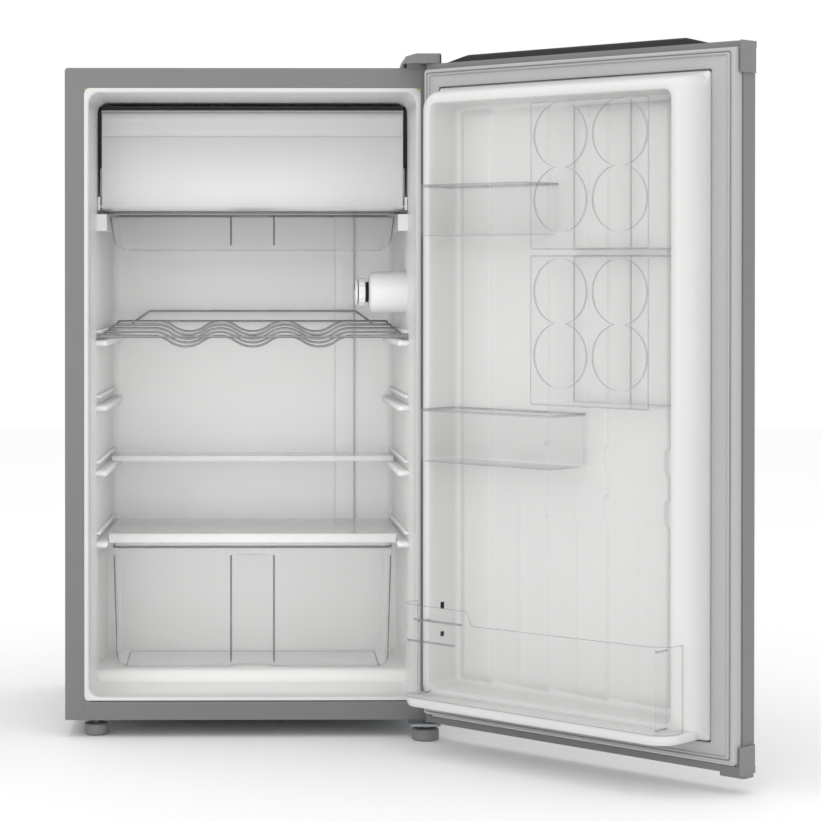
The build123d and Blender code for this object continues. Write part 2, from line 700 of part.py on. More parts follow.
with BuildPart() as door_foam:
    with BuildSketch(door_level(PANEL_Z[0] + 0.1)):
        door_plan(SKIN + 0.1)
        patch(-DOOR_REACH, LINER_BACK - 0.1, DOOR_HEEL, LINER_FLANGE + 1, mode=Mode.SUBTRACT)
    extrude(amount=PANEL_Z[1] - PANEL_Z[0] - 0.2)
    block(
        door_front(DIKE_TOP - LINER_T - 0.1),
        DIKE_X[0] + LINER_T + 0.1,
        DIKE_Z[0] + LINER_T + 0.1,
        DIKE_X[1] - LINER_T - 0.1,
        DIKE_Z[1] - LINER_T - 0.1,
        DIKE_TOP - LINER_T - LINER_BACK,
        r=19.9,
    )
    block(
        door_front(DIKE_TOP),
        RECESS_X[0] - LINER_T - 0.1,
        RECESS_Z[0] - LINER_T - 0.1,
        RECESS_X[1] + LINER_T + 0.1,
        RECESS_Z[1] + LINER_T + 0.1,
        DIKE_TOP - RECESS_Y + LINER_T + 0.1,
        r=12.1,
        mode=Mode.SUBTRACT,
    )
    for z in (DOOR_Z0, DOOR_Z1 - 18.5):
        rod(door_level(z), 0, 0, BUSH_R + 0.1, 19.0, mode=Mode.SUBTRACT)
write(door_foam, "door_foam")

SEAL_X = (-457.5, 1.5)
SEAL_Z = (35.0, 838.5)
with BuildPart() as door_gasket:
    with BuildSketch(door_front(SEAL_PLANE)):
        patch(SEAL_X[0], SEAL_Z[0], SEAL_X[1], SEAL_Z[1], 3)
        patch(-424.6, 56, -22, 815.5, 24, mode=Mode.SUBTRACT)
    extrude(amount=SEAL_PLANE - LINER_FLANGE - 0.1)
    seal_face = door_gasket.faces().filter_by(INTO_CABINET).sort_by(INTO_CABINET)[-1]
    chamfer(seal_face.outer_wire().edges(), 1.5)
write(door_gasket, "door_gasket")

# ---------------------------------------------------------------- door fittings
FIT_FRONT = 103.0  # front of the racks and the bottle guard
BIN_FRONT = 90.0
CLEAR_T = 2.0


def bin_shell(x0, x1, z0, z1):
    """Open-topped bin between two places across the door."""
    block(door_level(z0), x0, RECESS_Y + 6, x1, BIN_FRONT, z1 - z0, r=8)
    block(
        door_level(z0 + CLEAR_T),
        x0 + CLEAR_T,
        RECESS_Y + 6 + CLEAR_T,
        x1 - CLEAR_T,
        BIN_FRONT - CLEAR_T,
        z1 - z0,
        r=6,
        mode=Mode.SUBTRACT,
    )


UPPER_BIN_Z = (630.0, 692.0)
MIDDLE_BIN_Z = (357.0, 421.0)
BIN_START = -49.5
UPPER_BIN_END = -214.0
MIDDLE_BIN_END = -254.0
with BuildPart() as upper_bin:
    bin_shell(UPPER_BIN_END, BIN_START, *UPPER_BIN_Z)
write(upper_bin, "upper_bin")

with BuildPart() as middle_bin:
    bin_shell(MIDDLE_BIN_END, BIN_START, *MIDDLE_BIN_Z)
write(middle_bin, "middle_bin")

RACK_X = (-399.0, -232.0)
CAN_R = 37.5
CAN_PITCH_X = 82.0
CAN_PITCH_Z = 72.0
for label, z0, z1 in (("can_rack_upper", 612.0, 783.0), ("can_rack_lower", 433.0, 606.0)):
    mid_x = (RACK_X[0] + RACK_X[1]) / 2
    with BuildPart() as can_rack:
        block(door_level(z0), RACK_X[0], RECESS_Y + 6, RACK_X[1], FIT_FRONT, z1 - z0, r=6)
        for x0, x1 in ((RACK_X[0] + CLEAR_T, mid_x - 1), (mid_x + 1, RACK_X[1] - CLEAR_T)):
            block(
                door_level(z0 + CLEAR_T),
                x0,
                RECESS_Y + 6 + CLEAR_T,
                x1,
                FIT_FRONT - 2.5,
                z1 - z0,
                r=4,
                mode=Mode.SUBTRACT,
            )
        with BuildSketch(door_front(FIT_FRONT + 1)):
            with Locations((mid_x, z0 + 90)):
                with GridLocations(CAN_PITCH_X, CAN_PITCH_Z, 2, 2):
                    Circle(CAN_R)
        extrude(amount=5, mode=Mode.SUBTRACT)
    write(can_rack, label)

GUARD_X = (-420.0, -28.0)
GUARD_Z = (LEDGE_Z[1] + GAP, 174.0)
with BuildPart() as bottle_guard:
    with BuildSketch(door_level(GUARD_Z[0])):
        patch(GUARD_X[0], RECESS_Y, GUARD_X[1], FIT_FRONT, 26)
        patch(GUARD_X[0] + CLEAR_T, 0, GUARD_X[1] - CLEAR_T, FIT_FRONT - CLEAR_T, 24, mode=Mode.SUBTRACT)
        patch(GUARD_X[0] - 1, 0, GUARD_X[1] + 1, DIKE_TOP + GAP, mode=Mode.SUBTRACT)
        patch(GUARD_X[0] + CLEAR_T, DIKE_TOP + GAP, GUARD_X[0] + DIKE_W + 1, DIKE_TOP + GAP + CLEAR_T)
        patch(GUARD_X[1] - CLEAR_T, DIKE_TOP + GAP, GUARD_X[1] - DIKE_W - 1, DIKE_TOP + GAP + CLEAR_T)
    extrude(amount=GUARD_Z[1] - GUARD_Z[0])
    with BuildSketch(door_level(GUARD_Z[0] + 24)):
        patch(RECESS_X[0] + GAP, 42, RECESS_X[0] + GAP + CLEAR_T, DIKE_TOP + GAP + CLEAR_T)
        patch(RECESS_X[1] - GAP, 42, RECESS_X[1] - GAP - CLEAR_T, DIKE_TOP + GAP + CLEAR_T)
    extrude(amount=GUARD_Z[1] - GUARD_Z[0] - 24)
write(bottle_guard, "bottle_guard")

# ---------------------------------------------------------------- hinges
PLATE_Z = 847.0  # underside of the top hinge plate, over the door
PLATE_T = 3.0
with BuildPart() as top_hinge_plate:
    block(level(PLATE_Z), 216, -27.5, 235, 60, PLATE_T, r=6)
    block(level(BODY_Z1), 192, 14, 234, 60, PLATE_Z - BODY_Z1 + PLATE_T, r=4)
    rod(level(BODY_Z1), HINGE_X, HINGE_Y, PIN_R, 8, mode=Mode.SUBTRACT)
write(top_hinge_plate, "top_hinge_plate")

with BuildPart() as top_hinge_pin:
    rod(level(DOOR_Z1 - 14), HINGE_X, HINGE_Y, PIN_R, PLATE_Z + PLATE_T - DOOR_Z1 + 14)
write(top_hinge_pin, "top_hinge_pin")

with BuildPart() as top_hinge_screws:
    for x in (200, 222):
        rod(level(PLATE_Z + PLATE_T), x, 40, 4.5, 2.5)
        fillet(top_hinge_screws.edges().group_by(Axis.Z)[-1].group_by(Axis.X)[-1], 1.2)
write(top_hinge_screws, "top_hinge_screws")

COVER_TOP = 859.0
with BuildPart() as top_hinge_cover:
    with BuildSketch(front(66)):
        with BuildLine():
            Polyline(
                (187, BODY_Z1),
                (191, BODY_Z1 + 12),
                (204, COVER_TOP),
                (HALF - 1, COVER_TOP),
                (HALF, COVER_TOP - 2),
                (HALF, BODY_Z1),
                close=True,
            )
        make_face()
    extrude(amount=66 + 30)
    vertical = top_hinge_cover.edges().filter_by(Axis.Z).group_by(Axis.Y)[0]
    fillet(vertical.group_by(Axis.X)[-1], 6.0)
    block(side(180), -32, 840, 1.0, DOOR_Z1 + 0.6, 60, mode=Mode.SUBTRACT)
    block(level(840), 191, -28.5, 235.2, 64, COVER_TOP - 842, mode=Mode.SUBTRACT)
write(top_hinge_cover, "top_hinge_cover")

FOOT_BR = FEET["front_right"]
with BuildPart() as bottom_hinge_bracket:
    block(level(19), 196, -33, HALF - 0.5, 56, 3.0, r=6)
    rod(level(19), *FOOT_BR[:2], STUD_R + GAP, 3, mode=Mode.SUBTRACT)
    rod(level(19), HINGE_X, HINGE_Y, PIN_R, 3, mode=Mode.SUBTRACT)
write(bottom_hinge_bracket, "bottom_hinge_bracket")

with BuildPart() as bottom_hinge_pin:
    rod(level(19), HINGE_X, HINGE_Y, PIN_R, 18)
    chamfer(bottom_hinge_pin.edges().group_by(Axis.Z)[-1], 1.0)
write(bottom_hinge_pin, "bottom_hinge_pin")

with BuildPart() as bottom_hinge_screws:
    for x in (206, 226):
        rod(level(16.5), x, 40, 4.5, 2.5)
write(bottom_hinge_screws, "bottom_hinge_screws")

# ---------------------------------------------------------------- refrigeration system at the rear
POT = (60.0, 352.0)
POT_R = 44.0
POT_Z = (38.0, 172.0)
with BuildPart() as compressor:
    rod(level(POT_Z[0]), *POT, POT_R, POT_Z[1] - POT_Z[0])
    fillet(compressor.edges().group_by(Axis.Z)[-1], 26.0)
    fillet(compressor.edges().group_by(Axis.Z)[0], 9.0)
    block(level(34), POT[0] - 58, POT[1] - 40, POT[0] + 58, POT[1] + 40, 4, r=8)
    for dx in (-48, 48):
        for dy in (-30, 30):
            rod(level(30), POT[0] + dx, POT[1] + dy, 3.4, 10, mode=Mode.SUBTRACT)
write(compressor, "compressor")

with BuildPart() as compressor_grommets:
    for dx in (-48, 48):
        for dy in (-30, 30):
            rod(level(24), POT[0] + dx, POT[1] + dy, 7.0, 10)
            rod(level(24), POT[0] + dx, POT[1] + dy, 3.2, 10, mode=Mode.SUBTRACT)
write(compressor_grommets, "compressor_grommets")

with BuildPart() as compressor_bolts:
    for dx in (-48, 48):
        for dy in (-30, 30):
            rod(level(24), POT[0] + dx, POT[1] + dy, 3.0, 14)
            with BuildSketch(level(38)):
                with Locations((POT[0] + dx, POT[1] + dy)):
                    RegularPolygon(5.5, 6)
            extrude(amount=4)
write(compressor_bolts, "compressor_bolts")

with BuildPart() as relay_cover:
    block(level(70), POT[0] - POT_R - 34, POT[1] - 22, POT[0] - POT_R - 0.2, POT[1] + 22, 62, r=5)
    block(
        level(68),
        POT[0] - POT_R - 30,
        POT[1] - 18,
        POT[0] - POT_R - 4,
        POT[1] + 18,
        60,
        mode=Mode.SUBTRACT,
    )
write(relay_cover, "relay_cover")

with BuildPart() as drain_pan:
    block(level(POT_Z[1] + 0.5), POT[0] - 62, BAY_Y + 3, POT[0] + 62, CAB_D - 6, 20, r=10)
    block(
        level(POT_Z[1] + 2.5),
        POT[0] - 60,
        BAY_Y + 5,
        POT[0] + 60,
        CAB_D - 8,
        20,
        r=8,
        mode=Mode.SUBTRACT,
    )
write(drain_pan, "drain_pan")

COIL_Y = CAB_D + 14.0
COIL_R = 2.4
COIL_X = 182.0
COIL_Z = (262.0, 772.0)
PASSES = 12
PASS_PITCH = (COIL_Z[1] - COIL_Z[0]) / (PASSES - 1)
coil_points = []
for turn in range(PASSES):
    ends = (-COIL_X, COIL_X) if turn % 2 else (COIL_X, -COIL_X)
    for x in ends:
        coil_points.append((x, COIL_Y, COIL_Z[1] - turn * PASS_PITCH))
with BuildPart() as condenser_tube:
    with BuildLine() as coil_path:
        FilletPolyline(*coil_points, radius=PASS_PITCH / 2 - 0.5)
    sweep_wire(coil_path.line, COIL_R)
write(condenser_tube, "condenser_tube")

FIN_R = 0.9
with BuildPart() as condenser_wires:
    for depth in (COIL_Y - COIL_R - FIN_R, COIL_Y + COIL_R + FIN_R):
        with BuildSketch(level(COIL_Z[0] - 14)):
            with Locations((0, depth)):
                with GridLocations(13.0, 1, 26, 1):
                    Circle(FIN_R)
        extrude(amount=COIL_Z[1] - COIL_Z[0] + 28)
write(condenser_wires, "condenser_wires")

with BuildPart() as condenser_clips:
    for x in (-117, 117):
        for turn in (1, PASSES - 2):
            z = COIL_Z[1] - turn * PASS_PITCH
            block(front(COIL_Y + 6), x - 5, z - 7, x + 5, z + 7, COIL_Y + 6 - CAB_D, r=2)
    with BuildSketch(side(-COIL_X - 20)):
        for turn in range(PASSES):
            with Locations((COIL_Y, COIL_Z[1] - turn * PASS_PITCH)):
                Circle(COIL_R + 0.1)
    extrude(amount=2 * COIL_X + 40, mode=Mode.SUBTRACT)
write(condenser_clips, "condenser_clips")

with BuildPart() as filter_drier:
    rod(level(90), 150, 372, 8.0, 70)
    fillet(filter_drier.edges(), 3.5)
write(filter_drier, "filter_drier")

PIPE_R = 2.4
with BuildPart() as discharge_pipe:
    with BuildLine() as pipe_path:
        FilletPolyline(
            (POT[0] + POT_R - 1, POT[1] + 5, 110),
            (POT[0] + POT_R + 26, POT[1] + 5, 110),
            (POT[0] + POT_R + 26, POT[1] + 5, 60),
            (205, POT[1] + 5, 60),
            (205, COIL_Y, 60),
            (205, COIL_Y, COIL_Z[1]),
            (COIL_X + 0.2, COIL_Y, COIL_Z[1]),
            radius=9,
        )
    sweep_wire(pipe_path.line, PIPE_R)
write(discharge_pipe, "discharge_pipe")

with BuildPart() as cord_gland:
    rod(front(CAB_D + 3), *GLAND_AT, 9.0, 3)
    rod(front(CAB_D), *GLAND_AT, 6.0, 14)
    rod(front(CAB_D + 3), *GLAND_AT, 3.4, 18, mode=Mode.SUBTRACT)
write(cord_gland, "cord_gland")

with BuildPart() as back_panel_screws:
    for x in (-224, 0, 224):
        for z in (226, 828):
            rod(front(CAB_D + 2), x, z, 4.0, 2.0)
write(back_panel_screws, "back_panel_screws")
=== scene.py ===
import logging
import math
from collections.abc import Callable, Sequence
from dataclasses import dataclass, field
from enum import Enum
from typing import Any

import bmesh
import bpy
import numpy as np
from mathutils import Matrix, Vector


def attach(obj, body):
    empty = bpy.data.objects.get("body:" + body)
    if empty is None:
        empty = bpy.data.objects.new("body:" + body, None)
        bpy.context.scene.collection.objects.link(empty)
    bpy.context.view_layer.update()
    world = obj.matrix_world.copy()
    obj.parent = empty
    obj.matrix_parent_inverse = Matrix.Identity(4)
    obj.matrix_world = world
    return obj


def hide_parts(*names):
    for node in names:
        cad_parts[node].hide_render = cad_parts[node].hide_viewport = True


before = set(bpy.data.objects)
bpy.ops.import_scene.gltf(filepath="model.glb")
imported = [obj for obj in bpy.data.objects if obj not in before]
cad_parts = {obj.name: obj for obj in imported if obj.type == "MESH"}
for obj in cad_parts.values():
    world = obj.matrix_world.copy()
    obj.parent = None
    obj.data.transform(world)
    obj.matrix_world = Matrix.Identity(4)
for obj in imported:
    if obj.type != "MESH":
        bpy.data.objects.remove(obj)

logging.basicConfig(level=logging.INFO, format="%(message)s")
log = logging.getLogger("fridge")

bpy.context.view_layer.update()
MM = 0.001
HINGE = (228.0, -21.0)  # door axis in plan, mm
DOOR_OPEN = math.radians(135.3)
SHARP = math.radians(38)  # edges sharper than this stay crisp
MERGE = 1e-6  # points nearer than this, in metres, become one
WHITE = (1.0, 1.0, 1.0, 1.0)

Placing = Callable[[np.ndarray], np.ndarray]


# ---------------------------------------------------------------- finishes
def linear(colour: str) -> tuple[float, float, float, float]:
    """Turns an sRGB hex colour to linear light.

    Args:
        colour: Hex colour such as "#8b8b8b".

    Returns:
        Linear red, green, blue and an alpha of one.
    """
    part = np.array([int(colour[i : i + 2], 16) for i in (1, 3, 5)]) / 255
    value = np.where(part <= 0.04045, part / 12.92, ((part + 0.055) / 1.055) ** 2.4)
    return (*value.tolist(), 1.0)


def add_node(
    tree: bpy.types.NodeTree, kind: str, inputs: dict[Any, Any] | None = None, **settings: Any
) -> bpy.types.Node:
    """Adds one shader node with its settings and links.

    Args:
        tree: Node tree to add to.
        kind: Blender's name of the node.
        inputs: Value or output socket for each input, by name or number.
        settings: Properties of the node.

    Returns:
        The new node.
    """
    node = tree.nodes.new(kind)
    for key, value in settings.items():
        setattr(node, key, value)
    for key, value in (inputs or {}).items():
        if isinstance(value, bpy.types.NodeSocket):
            tree.links.new(value, node.inputs[key])
        else:
            node.inputs[key].default_value = value
    return node


@dataclass(frozen=True)
class Finish:
    """A finish with a soft change of tone over the piece and a fine surface grain.

    The grain's height is a noise of grain_mm; the tone moves between colour and shade over mottle_mm.
    """

    name: str
    colour: str
    shade: str
    roughness: float
    metallic: float = 0.0
    ior: float = 1.5
    coat: float = 0.0
    grain_mm: float = 1.2
    grain_depth: float = 0.06
    mottle_mm: float = 130.0
    stretch: tuple[float, float, float] = (1.0, 1.0, 1.0)

    def start(self) -> tuple[bpy.types.Material, bpy.types.NodeTree, bpy.types.Node, bpy.types.NodeSocket]:
        """Makes the empty material with its shader.

        Returns:
            The material, its tree, its Principled shader and the stretched object coordinates.
        """
        material = bpy.data.materials.new(self.name)
        material.use_nodes = True
        tree = material.node_tree
        tree.nodes.clear()
        place = add_node(tree, "ShaderNodeTexCoord")
        mapping = add_node(
            tree, "ShaderNodeMapping", {"Vector": place.outputs["Object"], "Scale": self.stretch}
        )
        shader = add_node(
            tree,
            "ShaderNodeBsdfPrincipled",
            {"Metallic": self.metallic, "IOR": self.ior, "Coat Weight": self.coat, "Coat Roughness": 0.12},
        )
        return material, tree, shader, mapping.outputs["Vector"]

    def noise(
        self, tree: bpy.types.NodeTree, where: bpy.types.NodeSocket, size_mm: float, detail: float
    ) -> bpy.types.NodeSocket:
        """Adds a noise.

        Args:
            tree: Tree of the material.
            where: Object coordinates.
            size_mm: Size of one patch of the noise.
            detail: Octaves of finer noise on top.

        Returns:
            The noise's value.
        """
        scale = 1000 / size_mm
        node = add_node(tree, "ShaderNodeTexNoise", {"Vector": where, "Scale": scale, "Detail": detail})
        return node.outputs["Fac"]

    def dress(self, tree: bpy.types.NodeTree, shader: bpy.types.Node, where: bpy.types.NodeSocket) -> None:
        """Links tone, roughness and grain to the shader.

        Args:
            tree: Tree of the material.
            shader: Its Principled shader.
            where: Object coordinates.
        """
        tone = self.noise(tree, where, self.mottle_mm, 3.0)
        grain = self.noise(tree, where, self.grain_mm, 2.0)
        mix = add_node(
            tree,
            "ShaderNodeMix",
            {0: tone, 6: linear(self.colour), 7: linear(self.shade)},
            data_type="RGBA",
        )
        rough = add_node(
            tree, "ShaderNodeMapRange", {"Value": grain, 3: self.roughness * 0.86, 4: self.roughness * 1.14}
        )
        bump = add_node(
            tree, "ShaderNodeBump", {"Height": grain, "Strength": self.grain_depth, "Distance": 0.5 * MM}
        )
        tree.links.new(mix.outputs[2], shader.inputs["Base Color"])
        tree.links.new(rough.outputs["Result"], shader.inputs["Roughness"])
        tree.links.new(bump.outputs["Normal"], shader.inputs["Normal"])

    def build(self) -> bpy.types.Material:
        """Makes the material.

        Returns:
            The material.
        """
        material, tree, shader, where = self.start()
        self.dress(tree, shader, where)
        add_node(tree, "ShaderNodeOutputMaterial", {"Surface": shader.outputs["BSDF"]})
        return material


@dataclass(frozen=True)
class ClearPlastic(Finish):
    """Clear moulding: light passes, a little is held back, and the surface gives gloss.

    body is the share of the finish's grey that shows face on (in the edge finishes that grey is painted edge shade);
    edge is the share where it is seen edge on.
    """

    tint: str = "#fefefe"
    body: float = 0.02
    edge: float = 0.6

    def build(self) -> bpy.types.Material:
        """Makes the material: the plastic's own shader mixed into clear, with the share rising towards edge on.

        Returns:
            The material.
        """
        material, tree, shader, where = self.start()
        self.dress(tree, shader, where)
        passes = add_node(tree, "ShaderNodeBsdfTransparent", {"Color": linear(self.tint)})
        facing = add_node(tree, "ShaderNodeLayerWeight", {"Blend": 0.35})
        share = add_node(
            tree,
            "ShaderNodeMapRange",
            {"Value": facing.outputs["Facing"], 1: 0.4, 2: 1.0, 3: self.body, 4: self.edge},
            interpolation_type="SMOOTHSTEP",
        )
        surface = add_node(
            tree,
            "ShaderNodeMixShader",
            {0: share.outputs["Result"], 1: passes.outputs["BSDF"], 2: shader.outputs["BSDF"]},
        )
        add_node(tree, "ShaderNodeOutputMaterial", {"Surface": surface.outputs["Shader"]})
        return material


# Cold rolled steel, powder coated metallic grey: even, satin, with a faint orange peel.
PAINTED_STEEL = Finish("painted_cold_rolled_steel", "#717172", "#767677", 0.42, coat=0.15, grain_depth=0.1)
# Zinc coated sheet: spangled patches of light and dark grey with a dull shine.
GALVANISED = Finish("galvanised_sheet_steel", "#8d9194", "#a9adb0", 0.38, metallic=0.85, mottle_mm=14)
# High impact polystyrene, vacuum formed: warm white, satin, slightly wavy where it was drawn.
LINER = Finish("vacuum_formed_polystyrene", "#dbdbda", "#d6d6d5", 0.34, grain_mm=2.5, grain_depth=0.05)
# ABS, injection moulded: brighter white and finer than the liner.
WHITE_ABS = Finish("moulded_white_abs", "#d6d6d6", "#d1d1d1", 0.3, grain_depth=0.04)
# General purpose polystyrene, moulded clear: glossy, faintly grey in thick places.
CLEAR = ClearPlastic("moulded_clear_polystyrene", "#e8e8e8", "#e3e3e3", 0.12, ior=1.59, grain_depth=0.02)
# Painted edge shade: the same moulding with dark grey painted on chosen edge faces, standing for the dark lines that
# refraction gives where it is seen through its edge.
CLEAR_EDGE_SHADE = ClearPlastic(
    "clear_polystyrene_painted_edge_shade", "#8a8b8b", "#858686", 0.12, ior=1.59, grain_depth=0.02, body=0.4, edge=0.7
)
# Painted edge shade, darker still, on the thick edges of the tubs, standing for the dark lines that refraction gives
# there.
CLEAR_OUTLINE_SHADE = ClearPlastic(
    "clear_polystyrene_painted_outline_shade", "#484949", "#444545", 0.12, ior=1.59, grain_depth=0.02, body=0.75, edge=0.9
)
# Milky polystyrene strip: light spreads inside it, so it glows softly and hides what is behind.
MILKY = ClearPlastic(
    "milky_polystyrene_trim", "#e2e2e2", "#dcdcdc", 0.2, ior=1.59, grain_depth=0.02, body=0.55, edge=0.8
)
# Toughened soda lime glass: clear and flat, with a cool cast.
GLASS = ClearPlastic(
    "toughened_glass", "#dcdddd", "#d6d8d7", 0.05, ior=1.52, grain_depth=0.01, tint="#fafbfb", body=0.1, edge=0.7
)
# Bright chromium on drawn steel wire: mirror, darkened where it reflects the cavity.
CHROME = Finish("chromed_steel_wire", "#9c9c9c", "#808080", 0.16, metallic=1.0, grain_depth=0.02, mottle_mm=9)
# Plasticised PVC extrusion: soft light grey, matt, with a slight bloom.
SEAL = Finish("soft_pvc_seal", "#b2b2b3", "#ababac", 0.55, grain_mm=0.8, stretch=(1.0, 1.0, 0.15))
# ABS coloured grey in the mass, spark eroded texture: matt and even.
GREY_ABS = Finish("moulded_grey_abs", "#7e7e7f", "#787879", 0.5, grain_mm=0.9, grain_depth=0.15)
# The same ABS nearly black, as for the grip strip along the door's top.
DARK_ABS = Finish("moulded_dark_abs", "#151516", "#1b1b1c", 0.38, grain_mm=0.9, grain_depth=0.12)
# Nitrile rubber: black, dull, a little dusty.
RUBBER = Finish("nitrile_rubber", "#1c1c1c", "#262626", 0.75, grain_mm=1.5, grain_depth=0.2)
# Stove enamel on steel: deep black with a wet shine.
ENAMEL = Finish("black_stove_enamel", "#0f0f10", "#161617", 0.25, coat=0.5, grain_mm=2.0, grain_depth=0.1)
# Drawn copper: salmon with brown patches where the torch heated it.
COPPER = Finish("drawn_copper", "#b87352", "#8f5a42", 0.3, metallic=1.0, mottle_mm=25)
# Roll bonded aluminium: pale, brushed along its length.
ALUMINIUM = Finish("roll_bonded_aluminium", "#b9bcbe", "#c8cacc", 0.4, metallic=0.6, stretch=(0.2, 1.0, 1.0))
# Rigid polyurethane foam: straw coloured with open cells.
FOAM = Finish("rigid_polyurethane_foam", "#d6c38a", "#c9b377", 0.9, grain_mm=1.6, grain_depth=0.5)
# Zinc plated screws: bright, slightly blue.
SCREWS = Finish("zinc_plated_steel", "#b4b8bd", "#9ea2a7", 0.3, metallic=1.0, mottle_mm=5)
# Painted shadow: black with no shine, put on mouldings down in a slot, where no light gets to them.
SHADOW_GAP = Finish("painted_slot_shadow", "#060606", "#0a0a0a", 0.8, grain_mm=1.5)


class Slot(Enum):
    """Finish of each of the record's material slots."""

    painted_steel = PAINTED_STEEL
    galvanised_steel = GALVANISED
    liner_plastic = LINER
    white_plastic = WHITE_ABS
    clear_plastic = CLEAR
    shelf_glass = GLASS
    chrome_wire = CHROME
    seal_rubber = SEAL
    grey_plastic = GREY_ABS
    dark_plastic = DARK_ABS
    black_rubber = RUBBER
    black_enamel = ENAMEL
    copper = COPPER
    evaporator_aluminium = ALUMINIUM
    insulation = FOAM
    bright_screws = SCREWS


class Paintbox:
    """Makes each finish's material once and hands it out."""

    def __init__(self) -> None:
        """Starts with no materials."""
        self.made: dict[str, bpy.types.Material] = {}

    def get(self, finish: Finish) -> bpy.types.Material:
        """Gives the material of a finish, made on first use.

        Args:
            finish: The finish.

        Returns:
            Its material.
        """
        if finish.name not in self.made:
            self.made[finish.name] = finish.build()
        return self.made[finish.name]


PAINTS = Paintbox()


# ---------------------------------------------------------------- surfaces
def in_cabinet(points: np.ndarray) -> np.ndarray:
    """Places (across, depth, height) points in the cabinet, where those are the frame's own axes."""
    return points


def in_cabinet_front(points: np.ndarray) -> np.ndarray:
    """Places (across, height, depth) points in the cabinet."""
    return points[..., [0, 2, 1]]


def in_cabinet_side(points: np.ndarray) -> np.ndarray:
    """Places (depth, height, across) points in the cabinet."""
    return points[..., [2, 0, 1]]


def on_door(points: np.ndarray) -> np.ndarray:
    """Places points of the shut door at its open rest place.

    The point is turned about the door axis in plan: X and Y each get the cosine and sine shares of the two.

    Args:
        points: (across, inwards, height) points, from the door axis.

    Returns:
        The points in the frame's axes.
    """
    c, s = math.cos(DOOR_OPEN), math.sin(DOOR_OPEN)
    x = HINGE[0] + points[..., 0] * c - points[..., 1] * s
    y = HINGE[1] + points[..., 0] * s + points[..., 1] * c
    return np.stack([x, y, points[..., 2]], axis=-1)


def on_door_face(points: np.ndarray) -> np.ndarray:
    """Places (across, height, inwards) points of the shut door at its open rest place."""
    return on_door(points[..., [0, 2, 1]])


def rounded_rings(
    table: Sequence[Sequence[float]], corner: int = 7, stops: np.ndarray | None = None
) -> np.ndarray:
    """Rings that run round rounded rectangles, one for each row of a table.

    Each corner is a quarter circle of the row's radius about the corner's centre, and the first side holds extra
    points at the given stops.

    Args:
        table: Rows of low and high place across, low and high second place, radius and height.
        corner: Steps in each quarter circle.
        stops: Places across at which the first side gets points.

    Returns:
        Array of rings by points by three.
    """
    rows = np.asarray(table, float)
    x0, x1, y0, y1, radius, height = (rows[:, [k]] for k in range(6))
    centres = (
        (x0 + radius, y0 + radius, math.pi),
        (x1 - radius, y0 + radius, 1.5 * math.pi),
        (x1 - radius, y1 - radius, 0.0),
        (x0 + radius, y1 - radius, 0.5 * math.pi),
    )
    turn = np.linspace(0, math.pi / 2, corner + 1)[None, :]
    parts_x, parts_y = [], []
    for number, (cx, cy, start) in enumerate(centres):
        parts_x.append(cx + radius * np.cos(start + turn))
        parts_y.append(cy + radius * np.sin(start + turn))
        if number == 0 and stops is not None:
            parts_x.append(np.repeat(stops[None, :], len(rows), 0))
            parts_y.append(np.repeat(y0, len(stops), 1))
    x, y = np.concatenate(parts_x, 1), np.concatenate(parts_y, 1)
    return np.stack([x, y, np.repeat(height, x.shape[1], 1)], axis=-1)


def inset_rows(
    box: tuple[float, float, float, float], radius: float, profile: Sequence[tuple[float, float]]
) -> list[tuple[float, ...]]:
    """Rows for rounded_rings from a profile of (inset, height) carried round one rectangle.

    Args:
        box: Low and high place across, low and high second place.
        radius: Corner radius at an inset of nothing; it shrinks by the inset, but not under 0.6 mm.
        profile: Inset from the rectangle and height of each ring.

    Returns:
        One row for each point of the profile.
    """
    x0, x1, y0, y1 = box
    return [(x0 + d, x1 - d, y0 + d, y1 - d, max(radius - d, 0.6), h) for d, h in profile]


def arc(
    centre: tuple[float, float], radius: float, start: float, end: float, steps: int
) -> list[tuple[float, float]]:
    """Points on a circle between two angles.

    Args:
        centre: Middle of the circle.
        radius: Its radius.
        start: First angle, degrees.
        end: Last angle, degrees.
        steps: Steps between them.

    Returns:
        The points, the two ends among them.
    """
    turn = np.radians(np.linspace(start, end, steps + 1))
    return list(zip(centre[0] + radius * np.cos(turn), centre[1] + radius * np.sin(turn)))


def fillet_points(
    radius: float, inset: float, height: float, degrees: Sequence[float]
) -> list[tuple[float, float]]:
    """Profile points of a fillet, a quarter circle from the bottom (0 degrees) to the wall (90 degrees).

    Args:
        radius: Radius of the fillet.
        inset: Inset of the wall.
        height: Height of the bottom.
        degrees: Angles of the points.

    Returns:
        Inset and height of each point.
    """
    return [
        (inset + radius * (1 - math.sin(a)), height + radius * (1 - math.cos(a))) for a in np.radians(degrees)
    ]


def smooth(share: np.ndarray | float) -> np.ndarray | float:
    """Smooth step from 0 to 1, level at both ends: 3t² less 2t³."""
    return share * share * (3 - 2 * share)


def outline(grid: np.ndarray) -> np.ndarray:
    """Points round the edge of a grid, in order."""
    return np.concatenate([grid[:, 0], grid[-1, 1:], grid[-2::-1, -1], grid[0, -2:0:-1]])


